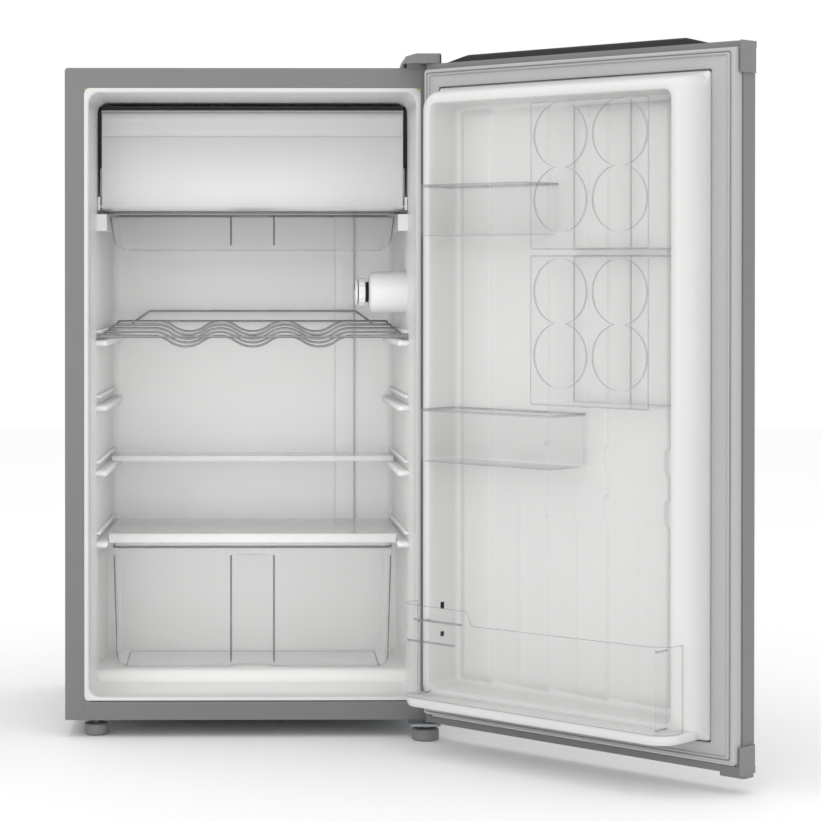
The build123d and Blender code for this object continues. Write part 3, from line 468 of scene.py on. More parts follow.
@dataclass
class Shape:
    """Gathers numpy surfaces in millimetres and makes them one mesh object."""

    place: Placing = in_cabinet
    points: list[np.ndarray] = field(default_factory=list)
    faces: list[list[int]] = field(default_factory=list)
    tags: list[int] = field(default_factory=list)
    count: int = 0

    def add(self, points: np.ndarray, faces: Sequence[Sequence[int]], tag: int = 0) -> None:
        """Adds points and faces.

        Args:
            points: The points.
            faces: Point numbers of each face, counted from the first of these points.
            tag: Material number.
        """
        self.points.append(self.place(np.asarray(points, float)).reshape(-1, 3))
        self.faces.extend((np.asarray(faces, int) + self.count).tolist())
        self.tags.extend([tag] * len(faces))
        self.count += len(self.points[-1])

    def grid(
        self, grid: np.ndarray, around: bool = False, along: bool = False, tags: np.ndarray | None = None
    ) -> None:
        """Adds quads between the neighbours of a grid of points.

        Args:
            grid: Array of rows by columns by three.
            around: Whether the last column joins the first.
            along: Whether the last row joins the first.
            tags: Material number of each band between two rows, or of each face.
        """
        rows, columns = grid.shape[:2]
        i, j = np.meshgrid(
            np.arange(rows if along else rows - 1), np.arange(columns if around else columns - 1), indexing="ij"
        )
        down, right = (i + 1) % rows, (j + 1) % columns
        quads = np.stack(
            [i * columns + j, i * columns + right, down * columns + right, down * columns + j], -1
        ).reshape(-1, 4)
        base = self.count
        self.points.append(self.place(grid).reshape(-1, 3))
        self.faces.extend((quads + base).tolist())
        bands = np.zeros(i.shape[0], int) if tags is None else np.asarray(tags, int)
        if bands.ndim == 1:
            bands = np.repeat(bands[:, None], i.shape[1], 1)
        self.tags.extend(bands.ravel().tolist())
        self.count += rows * columns

    def fan(self, ring: np.ndarray, tag: int = 0) -> None:
        """Closes a ring of points with triangles from its middle.

        Args:
            ring: The points.
            tag: Material number.
        """
        number = len(ring)
        k = np.arange(number)
        triangles = np.stack([k, (k + 1) % number, np.full(number, number)], -1)
        self.add(np.vstack([ring, ring.mean(0)]), triangles, tag)

    def rings(self, rings: np.ndarray, closed: bool = False, tags: np.ndarray | None = None) -> None:
        """Adds a skin over rings.

        Args:
            rings: Array of rings by points by three.
            closed: Whether the last ring joins the first. If not, a fan closes each end.
            tags: Material number of each band, or of each face.
        """
        self.grid(rings, around=True, along=closed, tags=tags)
        if not closed:
            self.fan(rings[0], 0 if tags is None else int(np.ravel(tags)[0]))
            self.fan(rings[-1], 0 if tags is None else int(np.ravel(tags)[-1]))

    def tube(
        self, path: np.ndarray, radius: float, across: tuple[float, float, float], sides: int = 10, tag: int = 0
    ) -> None:
        """Adds a round bar along a path that lies in a plane.

        Each ring is the path's point plus the circle of the plane's normal and the cross product of that with the
        tangent.

        Args:
            path: Points of the path.
            radius: Radius of the bar.
            across: Normal of the plane that holds the path.
            sides: Faces round the bar.
            tag: Material number.
        """
        tangent = np.gradient(path, axis=0)
        tangent /= np.linalg.norm(tangent, axis=1, keepdims=True)
        normal = np.broadcast_to(np.asarray(across, float), tangent.shape)
        side = np.cross(normal, tangent)
        turn = np.linspace(0, 2 * math.pi, sides, endpoint=False)[None, :, None]
        rings = path[:, None] + radius * (normal[:, None] * np.cos(turn) + side[:, None] * np.sin(turn))
        self.rings(rings, tags=np.full(len(path) - 1, tag))

    def join(self, other: "Shape") -> None:
        """Adds another shape's placed surfaces."""
        self.points += other.points
        self.faces += [[k + self.count for k in face] for face in other.faces]
        self.tags += other.tags
        self.count += other.count

    def build(
        self, name: str, body: str, slot: Slot, replaces: Sequence[str] = (), extra: Sequence[Finish] = ()
    ) -> bpy.types.Object:
        """Makes the mesh object, sets its outward normals and finish, and lets it ride on its body.

        Args:
            name: Name of the piece.
            body: Body that it rides on.
            slot: The record's slot that it takes its finish from.
            replaces: CAD nodes that it stands for.
            extra: Finishes of the tags above zero.

        Returns:
            The object.
        """
        mesh = bpy.data.meshes.new(name)
        mesh.from_pydata((np.vstack(self.points) * MM).tolist(), [], self.faces)
        for finish in (slot.value, *extra):
            mesh.materials.append(PAINTS.get(finish))
        mesh.polygons.foreach_set("material_index", np.array(self.tags, np.int32))
        work = bmesh.new()
        work.from_mesh(mesh)
        bmesh.ops.remove_doubles(work, verts=work.verts, dist=MERGE)
        bmesh.ops.dissolve_degenerate(work, edges=work.edges, dist=MERGE / 10)
        bmesh.ops.recalc_face_normals(work, faces=work.faces)
        work.to_mesh(mesh)
        work.free()
        mesh.shade_smooth()
        mesh.set_sharp_from_angle(angle=SHARP)
        piece = bpy.data.objects.new(name, mesh)
        bpy.context.scene.collection.objects.link(piece)
        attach(piece, body)
        if replaces:
            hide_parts(*replaces)
        log.info("%s: %d faces on %s", name, len(mesh.polygons), body)
        return piece


# ---------------------------------------------------------------- studio
@dataclass(frozen=True)
class SoftBox:
    """Soft rectangular lamp at one place, turned towards another. Lengths in metres, power in watts."""

    name: str
    at: tuple[float, float, float]
    to: tuple[float, float, float]
    wide: float
    tall: float
    power: float
    glossy: bool = True  # whether shiny surfaces show it


LAMPS = (
    SoftBox("front_box", (-0.5, -3.8, 0.9), (0.1, 0.2, 0.45), 2.4, 2.4, 24.0),
    SoftBox("top_box", (0.0, -0.3, 3.2), (0.0, 0.1, 0.0), 2.6, 2.6, 12.0),
    SoftBox("cavity_panel", (0.0, 0.012, 0.36), (0.0, 0.34, 0.36), 0.34, 0.578, 0.5, glossy=False),
)


@dataclass
class Studio:
    """Camera, soft lights and pale floor. Lengths in metres, the lens in millimetres."""

    distance: float = 3.096
    eye: float = 0.589
    lens: float = 107.86
    turn: float = 0.5  # degrees that the camera looks down and to the right
    shift: tuple[float, float] = (0.1663, -0.1450)
    far: float = 100.0
    surround: float = 1.0
    floor_half: float = 6.0
    clear_bounces: int = 32  # the clear mouldings lie many layers deep
    soft_bounces: int = 6

    def camera(self) -> None:
        """Sets the camera nearly square to the cabinet's front, with the frame shifted towards the door."""
        data = bpy.data.cameras.new("view")
        data.lens = self.lens
        data.shift_x, data.shift_y = self.shift
        data.clip_end = self.far
        eye = bpy.data.objects.new("view", data)
        eye.location = (0, -self.distance, self.eye)
        eye.rotation_euler = (math.radians(90 - self.turn), 0, math.radians(-self.turn))
        bpy.context.scene.collection.objects.link(eye)
        bpy.context.scene.camera = eye

    def lamp(self, box: SoftBox) -> None:
        """Hangs one soft box.

        Args:
            box: Its size, power and places.
        """
        data = bpy.data.lights.new(box.name, "AREA")
        data.shape = "RECTANGLE"
        data.size, data.size_y, data.energy = box.wide, box.tall, box.power
        lamp = bpy.data.objects.new(box.name, data)
        lamp.visible_camera = False
        lamp.visible_glossy = box.glossy
        lamp.location = box.at
        aim = Vector(box.to) - Vector(box.at)
        lamp.rotation_euler = aim.to_track_quat("-Z", "Y").to_euler()
        bpy.context.scene.collection.objects.link(lamp)

    def floor(self) -> None:
        """Lays the plain pale floor, one flat sheet."""
        half = self.floor_half
        mesh = bpy.data.meshes.new("studio_floor")
        corners = [(-half, -half, 0), (half, -half, 0), (half, half, 0), (-half, half, 0)]
        mesh.from_pydata(corners, [], [(0, 1, 2, 3)])
        # Seamless studio paper: white and fully matt.
        paper = Finish("studio_paper", "#fcfcfc", "#fafafa", 0.9, grain_mm=3.0, grain_depth=0.02)
        mesh.materials.append(PAINTS.get(paper))
        floor = bpy.data.objects.new("studio_floor", mesh)
        bpy.context.scene.collection.objects.link(floor)

    def build(self) -> None:
        """Builds the studio."""
        scene = bpy.context.scene
        scene.view_settings.view_transform = "Standard"
        scene.cycles.transparent_max_bounces = self.clear_bounces
        scene.cycles.diffuse_bounces = self.soft_bounces
        world = bpy.data.worlds.new("studio")
        world.use_nodes = True
        tree = world.node_tree
        tree.nodes.clear()
        light = add_node(tree, "ShaderNodeBackground", {"Color": WHITE, "Strength": self.surround})
        add_node(tree, "ShaderNodeOutputWorld", {"Surface": light.outputs["Background"]})
        scene.world = world
        self.camera()
        for box in LAMPS:
            self.lamp(box)
        self.floor()
        log.info("studio is set")


# ---------------------------------------------------------------- CAD nodes that stay
TRIM_NODES = ("rear_shelf_trim", "crisper_cover_trim")
NODE_FINISHES: dict[Slot, tuple[str, ...]] = {
    Slot.painted_steel: ("cabinet_shell", "front_bottom_rail", "door_outer_panel"),
    Slot.galvanised_steel: ("base_panel", "back_panel", "compressor_base", "top_hinge_plate", "bottom_hinge_bracket"),
    Slot.white_plastic: ("evaporator_frame", "tray_rails"),
    Slot.shelf_glass: ("rear_shelf", "crisper_cover"),
    Slot.chrome_wire: ("bottle_rack",),
    Slot.grey_plastic: (
        "top_hinge_cover",
        "door_top_cap",
        "door_bottom_cap",
        "levelling_foot_front_left",
        "levelling_foot_front_right",
        "levelling_foot_rear_left",
        "levelling_foot_rear_right",
    ),
    Slot.dark_plastic: ("door_handle", "relay_cover", "drain_pan", "condenser_clips", "thermostat_switch"),
    Slot.black_rubber: ("compressor_grommets", "cord_gland"),
    Slot.black_enamel: ("compressor", "condenser_tube", "condenser_wires"),
    Slot.copper: ("discharge_pipe", "filter_drier"),
    Slot.evaporator_aluminium: ("evaporator_box",),
    Slot.insulation: ("cabinet_foam",),
    Slot.bright_screws: (
        "back_panel_screws",
        "compressor_bolts",
        "evaporator_hangers",
        "top_hinge_pin",
        "bottom_hinge_pin",
        "top_hinge_screws",
        "bottom_hinge_screws",
        "foot_nuts",
        "upper_hinge_bush",
        "lower_hinge_bush",
    ),
}


def dress_nodes(nodes: dict[str, bpy.types.Object]) -> None:
    """Gives every CAD node that stays its finish.

    Args:
        nodes: The frame's CAD nodes by name.
    """
    jobs = [(slot.value, names) for slot, names in NODE_FINISHES.items()] + [(MILKY, TRIM_NODES)]
    for finish, names in jobs:
        for name in names:
            materials = nodes[name].data.materials
            if len(materials) == 0:
                materials.append(PAINTS.get(finish))
            for number in range(len(materials)):
                materials[number] = PAINTS.get(finish)
    log.info("%d CAD nodes dressed", sum(len(names) for _, names in jobs))


# ---------------------------------------------------------------- cabinet inside
@dataclass
class InnerLiner:
    """White formed cavity: rim, tapered walls, shelf rails, step over the compressor and rear channel."""

    front: tuple[float, float, float, float] = (-206.0, 206.0, 51.0, 812.0)
    rear: tuple[float, float, float, float] = (-195.0, 195.0, 66.0, 800.0)
    depth: float = 345.0
    skin: float = 1.4
    rim: float = 5.9
    corner: float = 14.0
    cove: float = 12.0  # radius where the walls meet the rear wall
    overlap: float = 0.7  # how far an added part runs into the skin
    grooves: tuple[float, ...] = (500.0, 415.5, 331.0, 238.0)
    ledge: tuple[float, float, float, float] = (-10.0, -2.0, 14.0, 93.0)  # low, high, width, depth of its front
    guide: tuple[float, float, float, float] = (6.0, 11.0, 5.0, 99.0)
    nose: tuple[tuple[float, float], ...] = ((0.0, 3.2), (0.7, 1.8), (2.2, 0.7), (4.5, 0.0))  # back, drawn in
    rail_end: float = 340.0
    rail_round: float = 2.2
    ramp: tuple[float, float] = (84.0, 24.0)  # depth at which the floor starts to rise, and over what depth
    plateau: float = 68.2
    step: tuple[float, float] = (275.0, 231.0)
    step_round: float = 12.0
    channel: tuple[float, float] = (115.0, 142.0)

    def section(self, y: float, grow: float = 0.0) -> tuple[float, float, float, float]:
        """Gives the cavity's rectangle at a depth: a straight blend of the front and the rear one.

        Args:
            y: The depth.
            grow: How far it is grown outwards.

        Returns:
            Low and high place across, low and high height.
        """
        t = y / self.depth
        x0, x1, z0, z1 = (a + (b - a) * t for a, b in zip(self.front, self.rear))
        return x0 - grow, x1 + grow, z0 - grow, z1 + grow

    def wall_x(self, y: np.ndarray) -> np.ndarray:
        """Half width of the cavity at a depth."""
        return self.front[1] - (self.front[1] - self.rear[1]) * y / self.depth

    def floor_z(self, y: float) -> float:
        """Height of the sloping floor at a depth."""
        return self.front[2] + (self.rear[2] - self.front[2]) * y / self.depth

    def shell(self, shape: Shape) -> None:
        """Adds the cavity: rings from behind the rear wall, forwards, over the rim and back to the rear wall.

        Args:
            shape: Shape to add to.
        """
        d, s, r = self.depth, self.skin, self.corner
        outer = [
            (*self.section(d, s), r, d + s),
            (*self.section(d - 30, s), r + 1, d - 30),
            (*self.section(4, s), r + 1, 4.0),
            (*self.section(0, self.rim), 8, 1.4),
            (*self.section(0, self.rim), 8, 0.3),
            (*self.section(0, self.rim - 0.3), 8, 0.0),
        ]
        lip = [
            (*self.section(0, 2.2), r - 1, 0.0),
            (*self.section(0, 1.0), r - 0.5, 0.3),
            (*self.section(0, 0.3), r, 1.2),
            (*self.section(3, 0.0), r, 3.0),
        ]
        turn = d - self.cove
        inside = [(*self.section(y), r, y) for y in (60.0, 150.0, 250.0, turn)]
        cove = []
        for a in np.radians([15, 30, 45, 60, 75, 90]):
            drawn = self.cove * (1 - math.cos(a))
            cove.append((*self.section(turn, -drawn), r - drawn / 2, turn + self.cove * math.sin(a)))
        shape.rings(rounded_rings(outer + lip + inside + cove, corner=9))

    def across(self, shape: Shape, section: Sequence[tuple[float, float]]) -> None:
        """Adds a section carried from wall to wall, with its ends inside the walls' skin.

        Args:
            shape: Shape to add to.
            section: Closed ring of (depth, height) points.
        """
        y, z = np.array(section).T
        reach = self.wall_x(y) + self.overlap
        rings = np.stack([np.stack([u * reach, y, z], -1) for u in (-1.0, 1.0)])
        shape.rings(rings)

    def rail(self, hand: int, groove: float, size: tuple[float, float, float, float]) -> np.ndarray:
        """Gives the rings of one ledge or guide, with its front end drawn in to a round nose.

        Args:
            hand: -1 for the left wall, 1 for the right wall.
            groove: Height of the shelf's groove.
            size: Its bottom and top over the groove, its width and the depth of its front.

        Returns:
            The rings.
        """
        low, high, wide, start = size
        half = (high - low) / 2
        rows = []
        for y, nose in [(start + back, drawn) for back, drawn in self.nose] + [(self.rail_end, 0.0)]:
            wall = float(self.wall_x(np.array(y)))
            sides = sorted((hand * (wall - wide + nose * 1.6), hand * (wall + self.overlap)))
            drop = min(nose, half - 0.6)
            radius = min(self.rail_round, half - drop) * 0.98
            rows.append((*sides, groove + low + drop, groove + high - drop, radius, y))
        return rounded_rings(rows, corner=4)

    def rails(self, shape: Shape) -> None:
        """Adds the shelf rails: at each level a ledge and a slimmer guide over it, on both walls.

        Args:
            shape: Shape to add to.
        """
        for hand in (-1, 1):
            for groove in self.grooves:
                for size in (self.ledge, self.guide):
                    shape.rings(self.rail(hand, groove, size))

    def rise(self) -> list[tuple[float, float]]:
        """Gives the (depth, height) points of the floor's smooth ramp up to the plateau under the drawer."""
        start, run = self.ramp
        climb = self.plateau - self.floor_z(start + run)
        return [
            (start + run * t, self.floor_z(start + run * t) + climb * smooth(t)) for t in np.linspace(0, 1, 14).tolist()
        ]

    def build(self) -> bpy.types.Object:
        """Builds the liner.

        Returns:
            The object.
        """
        shape = Shape(in_cabinet_front)
        self.shell(shape)
        self.rails(shape)
        shape.place = in_cabinet
        y0, z0 = self.step
        r, start, end = self.step_round, self.ramp[0], y0 + 1
        under = [(y, self.floor_z(y) - 1.0) for y in (end, start)]
        self.across(shape, self.rise() + [(end, self.plateau)] + under)
        brow = arc((y0 + r, z0 - r), r, 180, 90, 8)
        foot, back = 64.0, self.depth + 1
        self.across(shape, [(y0, foot)] + brow + [(back, z0 + 2.0), (back, foot)])
        duct = [(*self.channel, self.depth - 7.5, back, 2.5, z) for z in (z0 - 2.0, self.rear[3])]
        shape.rings(rounded_rings(duct))
        return shape.build("inner_liner_skin", "cabinet", Slot.liner_plastic, ("inner_liner",))


@dataclass
class FlapGapShadow:
    """Painted shadow: a black strip round the top and sides of the freezer's mouth that stands for the shaded gap round
    the flap, seen as a dark line; it takes the black rubber finish.
    """

    half: float = 201.6
    width: float = 4.0
    top: tuple[float, float] = (797.6, 802.2)
    low: float = 722.0
    depth: tuple[float, float] = (121.4, 124.2)

    def build(self) -> bpy.types.Object:
        """Builds the strip from three small bars with eased edges.

        Returns:
            The object.
        """
        shape = Shape(in_cabinet_front)
        bars = [(-self.half, self.half, *self.top)]
        for hand in (-1, 1):
            sides = sorted((hand * self.half, hand * (self.half - self.width)))
            bars.append((*sides, self.low, self.top[1]))
        y0, y1 = self.depth
        for bar in bars:
            shape.rings(rounded_rings(inset_rows(bar, 1.0, [(0.4, y0), (0, y0 + 0.5), (0, y1)]), corner=3))
        return shape.build("freezer_mouth_gap_shadow", "cabinet", Slot.black_rubber)


@dataclass
class Thermostat:
    """White round nosed housing on the right wall, with a fluted knob on its end."""

    box: tuple[float, float, float, float] = (112.0, 190.0, 533.0, 587.0)
    reach: tuple[float, float] = (153.0, 202.5)
    axis: tuple[float, float] = (150.0, 560.0)
    knob: tuple[float, float] = (135.0, 150.4)
    knob_r: float = 18.2
    flutes: int = 16
    flute_depth: float = 0.018  # share of the radius
    nose: float = 9.0

    def housing(self) -> bpy.types.Object:
        """Builds the housing: rings of its round section along X, drawn in as a quarter circle at the nose.

        Returns:
            The object.
        """
        x0, x1 = self.reach
        nose = fillet_points(self.nose, 0.0, x0, range(0, 91, 15))
        shape = Shape(in_cabinet_side)
        shape.rings(rounded_rings(inset_rows(self.box, 25.0, nose + [(0.0, x1)]), corner=12))
        return shape.build("thermostat_body", "cabinet", Slot.white_plastic, ("thermostat_housing",))

    def lathe(self, rows: Sequence[tuple[float, float]], wave: float = 0.0) -> np.ndarray:
        """Turns (radius, across) rows about the knob's axis.

        The radius is multiplied by one plus the wave's share of the cosine of the flutes' count times the angle.

        Args:
            rows: Radius and place across of each ring.
            wave: Depth of the flutes, as a share of the radius.

        Returns:
            The rings.
        """
        turn = np.linspace(0, 2 * math.pi, self.flutes * 8, endpoint=False)
        r, x = np.array(rows).T[:, :, None]
        r = r * (1 + wave * np.cos(self.flutes * turn)[None])
        y, z = self.axis[0] + r * np.cos(turn), self.axis[1] + r * np.sin(turn)
        return np.stack([y, z, np.broadcast_to(x, y.shape)], -1)

    def turning(self) -> bpy.types.Object:
        """Builds the knob, with painted shadow in black on a ring under its grip, on its shaft and in its pointer slot.

        Returns:
            The object.
        """
        x0, x1 = self.knob
        r = self.knob_r
        shape = Shape(in_cabinet_side)
        shape.rings(self.lathe([(r - 4.4, x0), (r - 1.6, x0 + 0.8), (r - 0.8, x0 + 2.4), (r - 0.8, x0 + 3.2)]))
        grip = [(r - 0.4, x0 + 4.6), (r, x0 + 5.4), (r, x1 - 2.6), (r - 1.2, x1 - 1.8)]
        shape.rings(self.lathe(grip, self.flute_depth))
        # Painted shadow (tag 1): black rings under the grip and on the shaft in the gap to the housing, and a black
        # pointer slot.
        shape.rings(self.lathe([(r - 3.0, x0 + 2.0), (r - 3.0, x1 - 2.0)]), tags=np.array([1]))
        shape.rings(self.lathe([(r - 5.0, x1 - 2.2), (r - 5.0, x1 + 2.4)]), tags=np.array([1]))
        pointer = inset_rows((147.8, 152.2, 563.0, 573.0), 1.2, [(0, x0 - 0.5), (0, x0 + 1.0)])
        shape.rings(rounded_rings(pointer, corner=3), tags=np.array([1]))
        return shape.build("thermostat_dial", "knob", Slot.white_plastic, ("thermostat_knob",), (SHADOW_GAP,))

    def build(self) -> None:
        """Builds both pieces."""
        self.housing()
        self.turning()


# ---------------------------------------------------------------- freezer
@dataclass
class FreezerFlap:
    """White flap over the freezer box, hinged low at both ends."""

    half_width: float = 196.0
    bottom: float = 668.0
    crease: float = 763.0
    top: float = 796.0
    front: float = 113.0
    back: float = 121.0
    pivot: tuple[float, float] = (117.0, 672.0)
    pivot_r: float = 2.4

    def build(self) -> bpy.types.Object:
        """Builds the flap.

        Its section is a thin plate with a small step at the crease and a top band that curls back as a quarter
        circle; the section is carried across and drawn in by half a millimetre at both ends.

        Returns:
            The object.
        """
        shape = Shape()
        face = [
            (self.back, self.bottom + 1.0),
            (self.back - 1.0, self.bottom),
            (self.front + 1.5, self.bottom),
            (self.front + 0.3, self.bottom + 1.4),
            (self.front, self.bottom + 4.0),
            (self.front, self.crease - 1.2),
            (self.front + 0.5, self.crease - 0.4),
            (self.front + 1.5, self.crease + 0.2),
            (self.front + 1.9, self.crease + 2.0),
            (self.front + 3.0, self.top - 18.0),
            (self.front + 4.3, self.top - 11.0),
        ]
        curl = arc((self.front + 11.2, self.top - 8.0), 7.6, 160, 100, 8)
        back = [
            (self.back + 2.2, self.top - 1.6),
            (self.back + 2.4, self.top - 3.0),
            (self.back + 0.4, self.top - 12.0),
            (self.back, self.crease),
        ]
        section = np.array(face + curl + back)
        centre = section.mean(0)
        across = np.array([-1, -1, -0.997, 0.997, 1, 1]) * self.half_width
        shrink = np.array([0.94, 0.985, 1, 1, 0.985, 0.94])
        drawn = centre + (section - centre)[None] * shrink[:, None, None]
        rings = np.concatenate(
            [np.broadcast_to(across[:, None, None], (*drawn.shape[:2], 1)), drawn], axis=-1
        )
        shape.rings(rings)
        for hand in (-1, 1):
            stub = np.array([[hand * x, *self.pivot] for x in (self.half_width - 3, self.half_width + 2.4)])
            shape.tube(stub, self.pivot_r, (0, 0, 1), 14)
        return shape.build("freezer_flap_skin", "flap", Slot.white_plastic, ("freezer_flap",))


# ---------------------------------------------------------------- clear containers
@dataclass
class ClearBox:
    """Open clear tub with a rim, rounded lower edges, tapered walls and a finger grip in its front.

    The section of its wall is carried round a rounded rectangle. The grip draws the front wall back by its depth
    times the root of one less the square of the place across over the grip's half width, so it is half a round
    channel.
    """

    name: str
    body: str
    node: str
    box: tuple[float, float, float, float]  # across and depth at the top of the walls
    z0: float
    z1: float
    rim: float
    taper: float
    fillet: float
    wall: float
    grip_depth: float
    grip_half: float = 29.0
    grip_top: float = 5.0
    edge: float = 1.2  # height over which the grip's channel sets in
    corner: float = 22.0

    def slant(self, z: float, extra: float = 0.0) -> tuple[float, float]:
        """Gives the (inset, height) point of the tapered wall at a height, with an extra inset."""
        return (self.z1 - z) * math.tan(math.radians(self.taper)) + extra, z

    def profile(self) -> tuple[list[tuple[float, float]], list[int]]:
        """Gives the wall's section.

        Returns:
            Insets and heights from the outside bottom, over the rim, to the inside bottom, and the material number
            of each band between them.
        """
        low = self.slant(self.z0)[0]
        r, t, rim, top = self.fillet, self.wall, self.rim, self.z1
        grip = top - self.grip_top
        ends = (grip - self.edge, grip)
        outside = fillet_points(r, low, self.z0, [0, 10, 17, 36, 54, 72, 90]) + [self.slant(z) for z in ends]
        lip = [
            self.slant(top - 3.6),
            (-rim + 0.4, top - 3.2),
            (-rim, top - 2.6),
            (-rim, top - 0.6),
            (-rim + 0.6, top),
            (t - 0.5, top),
            (t, top - 0.6),
            *(self.slant(z, t) for z in ends[::-1]),
        ]
        inner = fillet_points(r - t, low + t, self.z0 + t, range(90, -1, -18))
        # Bands marked 1 get painted edge shade: dark grey standing for the dark lines refraction gives.
        bands = [0, 1] + [0] * 5 + [1, 0] + [0, 1, 1, 1, 1, 1, 0, 0] + [0] * 6
        return outside + lip + inner, bands

    def build(self) -> bpy.types.Object:
        """Builds the tub.

        Returns:
            The object.
        """
        profile, bands = self.profile()
        side = self.grip_half
        inner = side * np.sin(np.linspace(-math.pi / 2, math.pi / 2, 25))
        stops = np.concatenate([[-side * 1.5, -side - 0.4], inner, [side + 0.4, side * 1.5]])
        rings = rounded_rings(inset_rows(self.box, self.corner, profile), stops=stops)
        corner = 8  # points of one rounded corner
        last = corner + len(stops)
        front = slice(corner, last)
        reach = np.sqrt(np.clip(1 - (rings[:, front, 0] / side) ** 2, 0, 1))
        below = np.clip((self.z1 - self.grip_top - rings[:, front, 2]) / self.edge, 0, 1)
        rings[:, front, 1] += self.grip_depth * reach * below
        # Painted edge shade: the tagged bands, then the top of the grip only, its two flanks and the corners' sides,
        # get dark grey standing for refraction's dark lines.
        tags = np.repeat(np.array(bands)[:, None], rings.shape[1], 1)
        arch = np.flatnonzero(bands)[1]
        tags[arch] = 0
        tags[arch, corner + 3 : last - 3] = 1
        flanks = [*range(corner + 1, corner + 5), *range(last - 6, last - 2)]
        corners = [*range(3), *range(last + 4, last + 7)]
        tags[4:arch, flanks + corners] = 1
        shape = Shape()
        shape.rings(rings, tags=tags)
        return shape.build(self.name, self.body, Slot.clear_plastic, (self.node,), (CLEAR_OUTLINE_SHADE,))


@dataclass
class DoorBin:
    """Clear bin that hangs on the door beside the can racks."""

    name: str
    body: str
    node: str
    x0: float
    x1: float
    z0: float
    z1: float
    back: float = 20.0
    front: float = 90.0
    wall: float = 2.0
    fillet: float = 6.0
    corner: float = 9.0

    def build(self) -> bpy.types.Object:
        """Builds the bin: a wall section with a beaded rim carried round its plan.

        Returns:
            The object.
        """
        r, t = self.fillet, self.wall
        outside = fillet_points(r, 0.0, self.z0, range(0, 91, 30))
        rim = [
            (0.0, self.z1 - 3.0),
            (0.0, self.z1 - 0.6),
            (0.5, self.z1),
            (t - 0.5, self.z1),
            (t, self.z1 - 0.6),
            (t, self.z1 - 6.0),
        ]
        inner = fillet_points(r - t, t, self.z0 + t, range(90, -1, -30))
        # Bands marked 1 get painted edge shade in dark grey.
        bands = [1, 0, 0, 0, 1, 1, 1, 1, 0, 0, 0, 0, 0]
        plan = (self.x0, self.x1, self.back, self.front)
        rows = inset_rows(plan, self.corner, outside + rim + inner)
        shape = Shape(on_door)
        shape.rings(rounded_rings(rows), tags=np.array(bands))
        return shape.build(self.name, self.body, Slot.clear_plastic, (self.node,), (CLEAR_EDGE_SHADE,))


@dataclass
class CanRack:
    """Two clear can cells side by side, each with an opening like a figure of eight in its front."""

    name: str
    body: str
    node: str
    z0: float
    z1: float
    x0: float = -399.0
    x1: float = -232.0
    back: float = 20.0
    front: float = 103.0
    wall: float = 2.0
    hole_r: float = 37.5
    hole_rise: float = 36.8
    hole_mid: float = 94.5
    flange: float = 4.5

    def window(self, shape: Shape, middle: float, half: float) -> None:
        """Adds one cell's front.

        Along a ray at angle t from the waist, the opening ends at rise·|sin t| plus the root of r² less
        (rise·cos t)², the far side of the nearer circle; the plate ends where the ray meets the cell's rectangle.

        Args:
            shape: Shape to add to.
            middle: Place across of the cell's middle.
            half: Half of the cell's width.
        """
        centre = self.z0 + self.hole_mid
        above, below = self.z1 - centre, centre - self.z0
        corners = [math.atan2(up, side) for up in (above, -below) for side in (half, -half)]
        t = np.unique(np.concatenate([np.linspace(-math.pi, math.pi, 120, endpoint=False), corners]))
        c, s = np.cos(t), np.sin(t)
        hole = self.hole_rise * np.abs(s) + np.sqrt(np.clip(self.hole_r**2 - (self.hole_rise * c) ** 2, 0, None))
        high = np.where(s > 0, above, below)
        plate = np.minimum(half / np.maximum(np.abs(c), 1e-9), high / np.maximum(np.abs(s), 1e-9))
        f, w = self.front, self.wall
        rows = [
            (hole, f - 0.6),
            (hole + 0.6, f),
            (plate, f),
            (plate, f - w),
            (hole + w, f - w),
            (hole + w, f - self.flange),
            (hole, f - self.flange),
        ]
        grid = np.stack([np.stack([middle + r * c, centre + r * s, np.full_like(t, h)], -1) for r, h in rows])
        # The flange's band (tag 1) gets painted edge shade in dark grey.
        shape.grid(grid, around=True, along=True, tags=np.array([0, 0, 0, 0, 0, 0, 1]))

    def build(self) -> bpy.types.Object:
        """Builds the rack: outer wall, divider and the two fronts.

        Returns:
            The object.
        """
        shape = Shape(on_door_face)
        outer = inset_rows(
            (self.x0, self.x1, self.z0, self.z1),
            3.0,
            [(0.3, self.back), (0, self.back + 1), (0, self.front - 0.4), (0.4, self.front)]
            + [(self.wall, self.front - 0.2), (self.wall, self.back)],
        )
        # Bands tagged 1 get painted edge shade in dark grey.
        shape.rings(rounded_rings(outer), closed=True, tags=np.array([1, 0, 1, 1, 0, 1]))
        middle = (self.x0 + self.x1) / 2
        half = (self.x1 - self.x0) / 4  # of one cell
        plate = (middle - 1, middle + 1, self.z0 + 1, self.z1 - 1)
        divider = inset_rows(plate, 0.8, [(0.2, self.back + 1), (0, self.back + 2), (0, self.front)])
        shape.rings(rounded_rings(divider, corner=2), tags=np.array([1, 0]))
        for cell in (middle - half, middle + half):
            self.window(shape, cell, half - 0.2)
        return shape.build(self.name, self.body, Slot.clear_plastic, (self.node,), (CLEAR_EDGE_SHADE,))


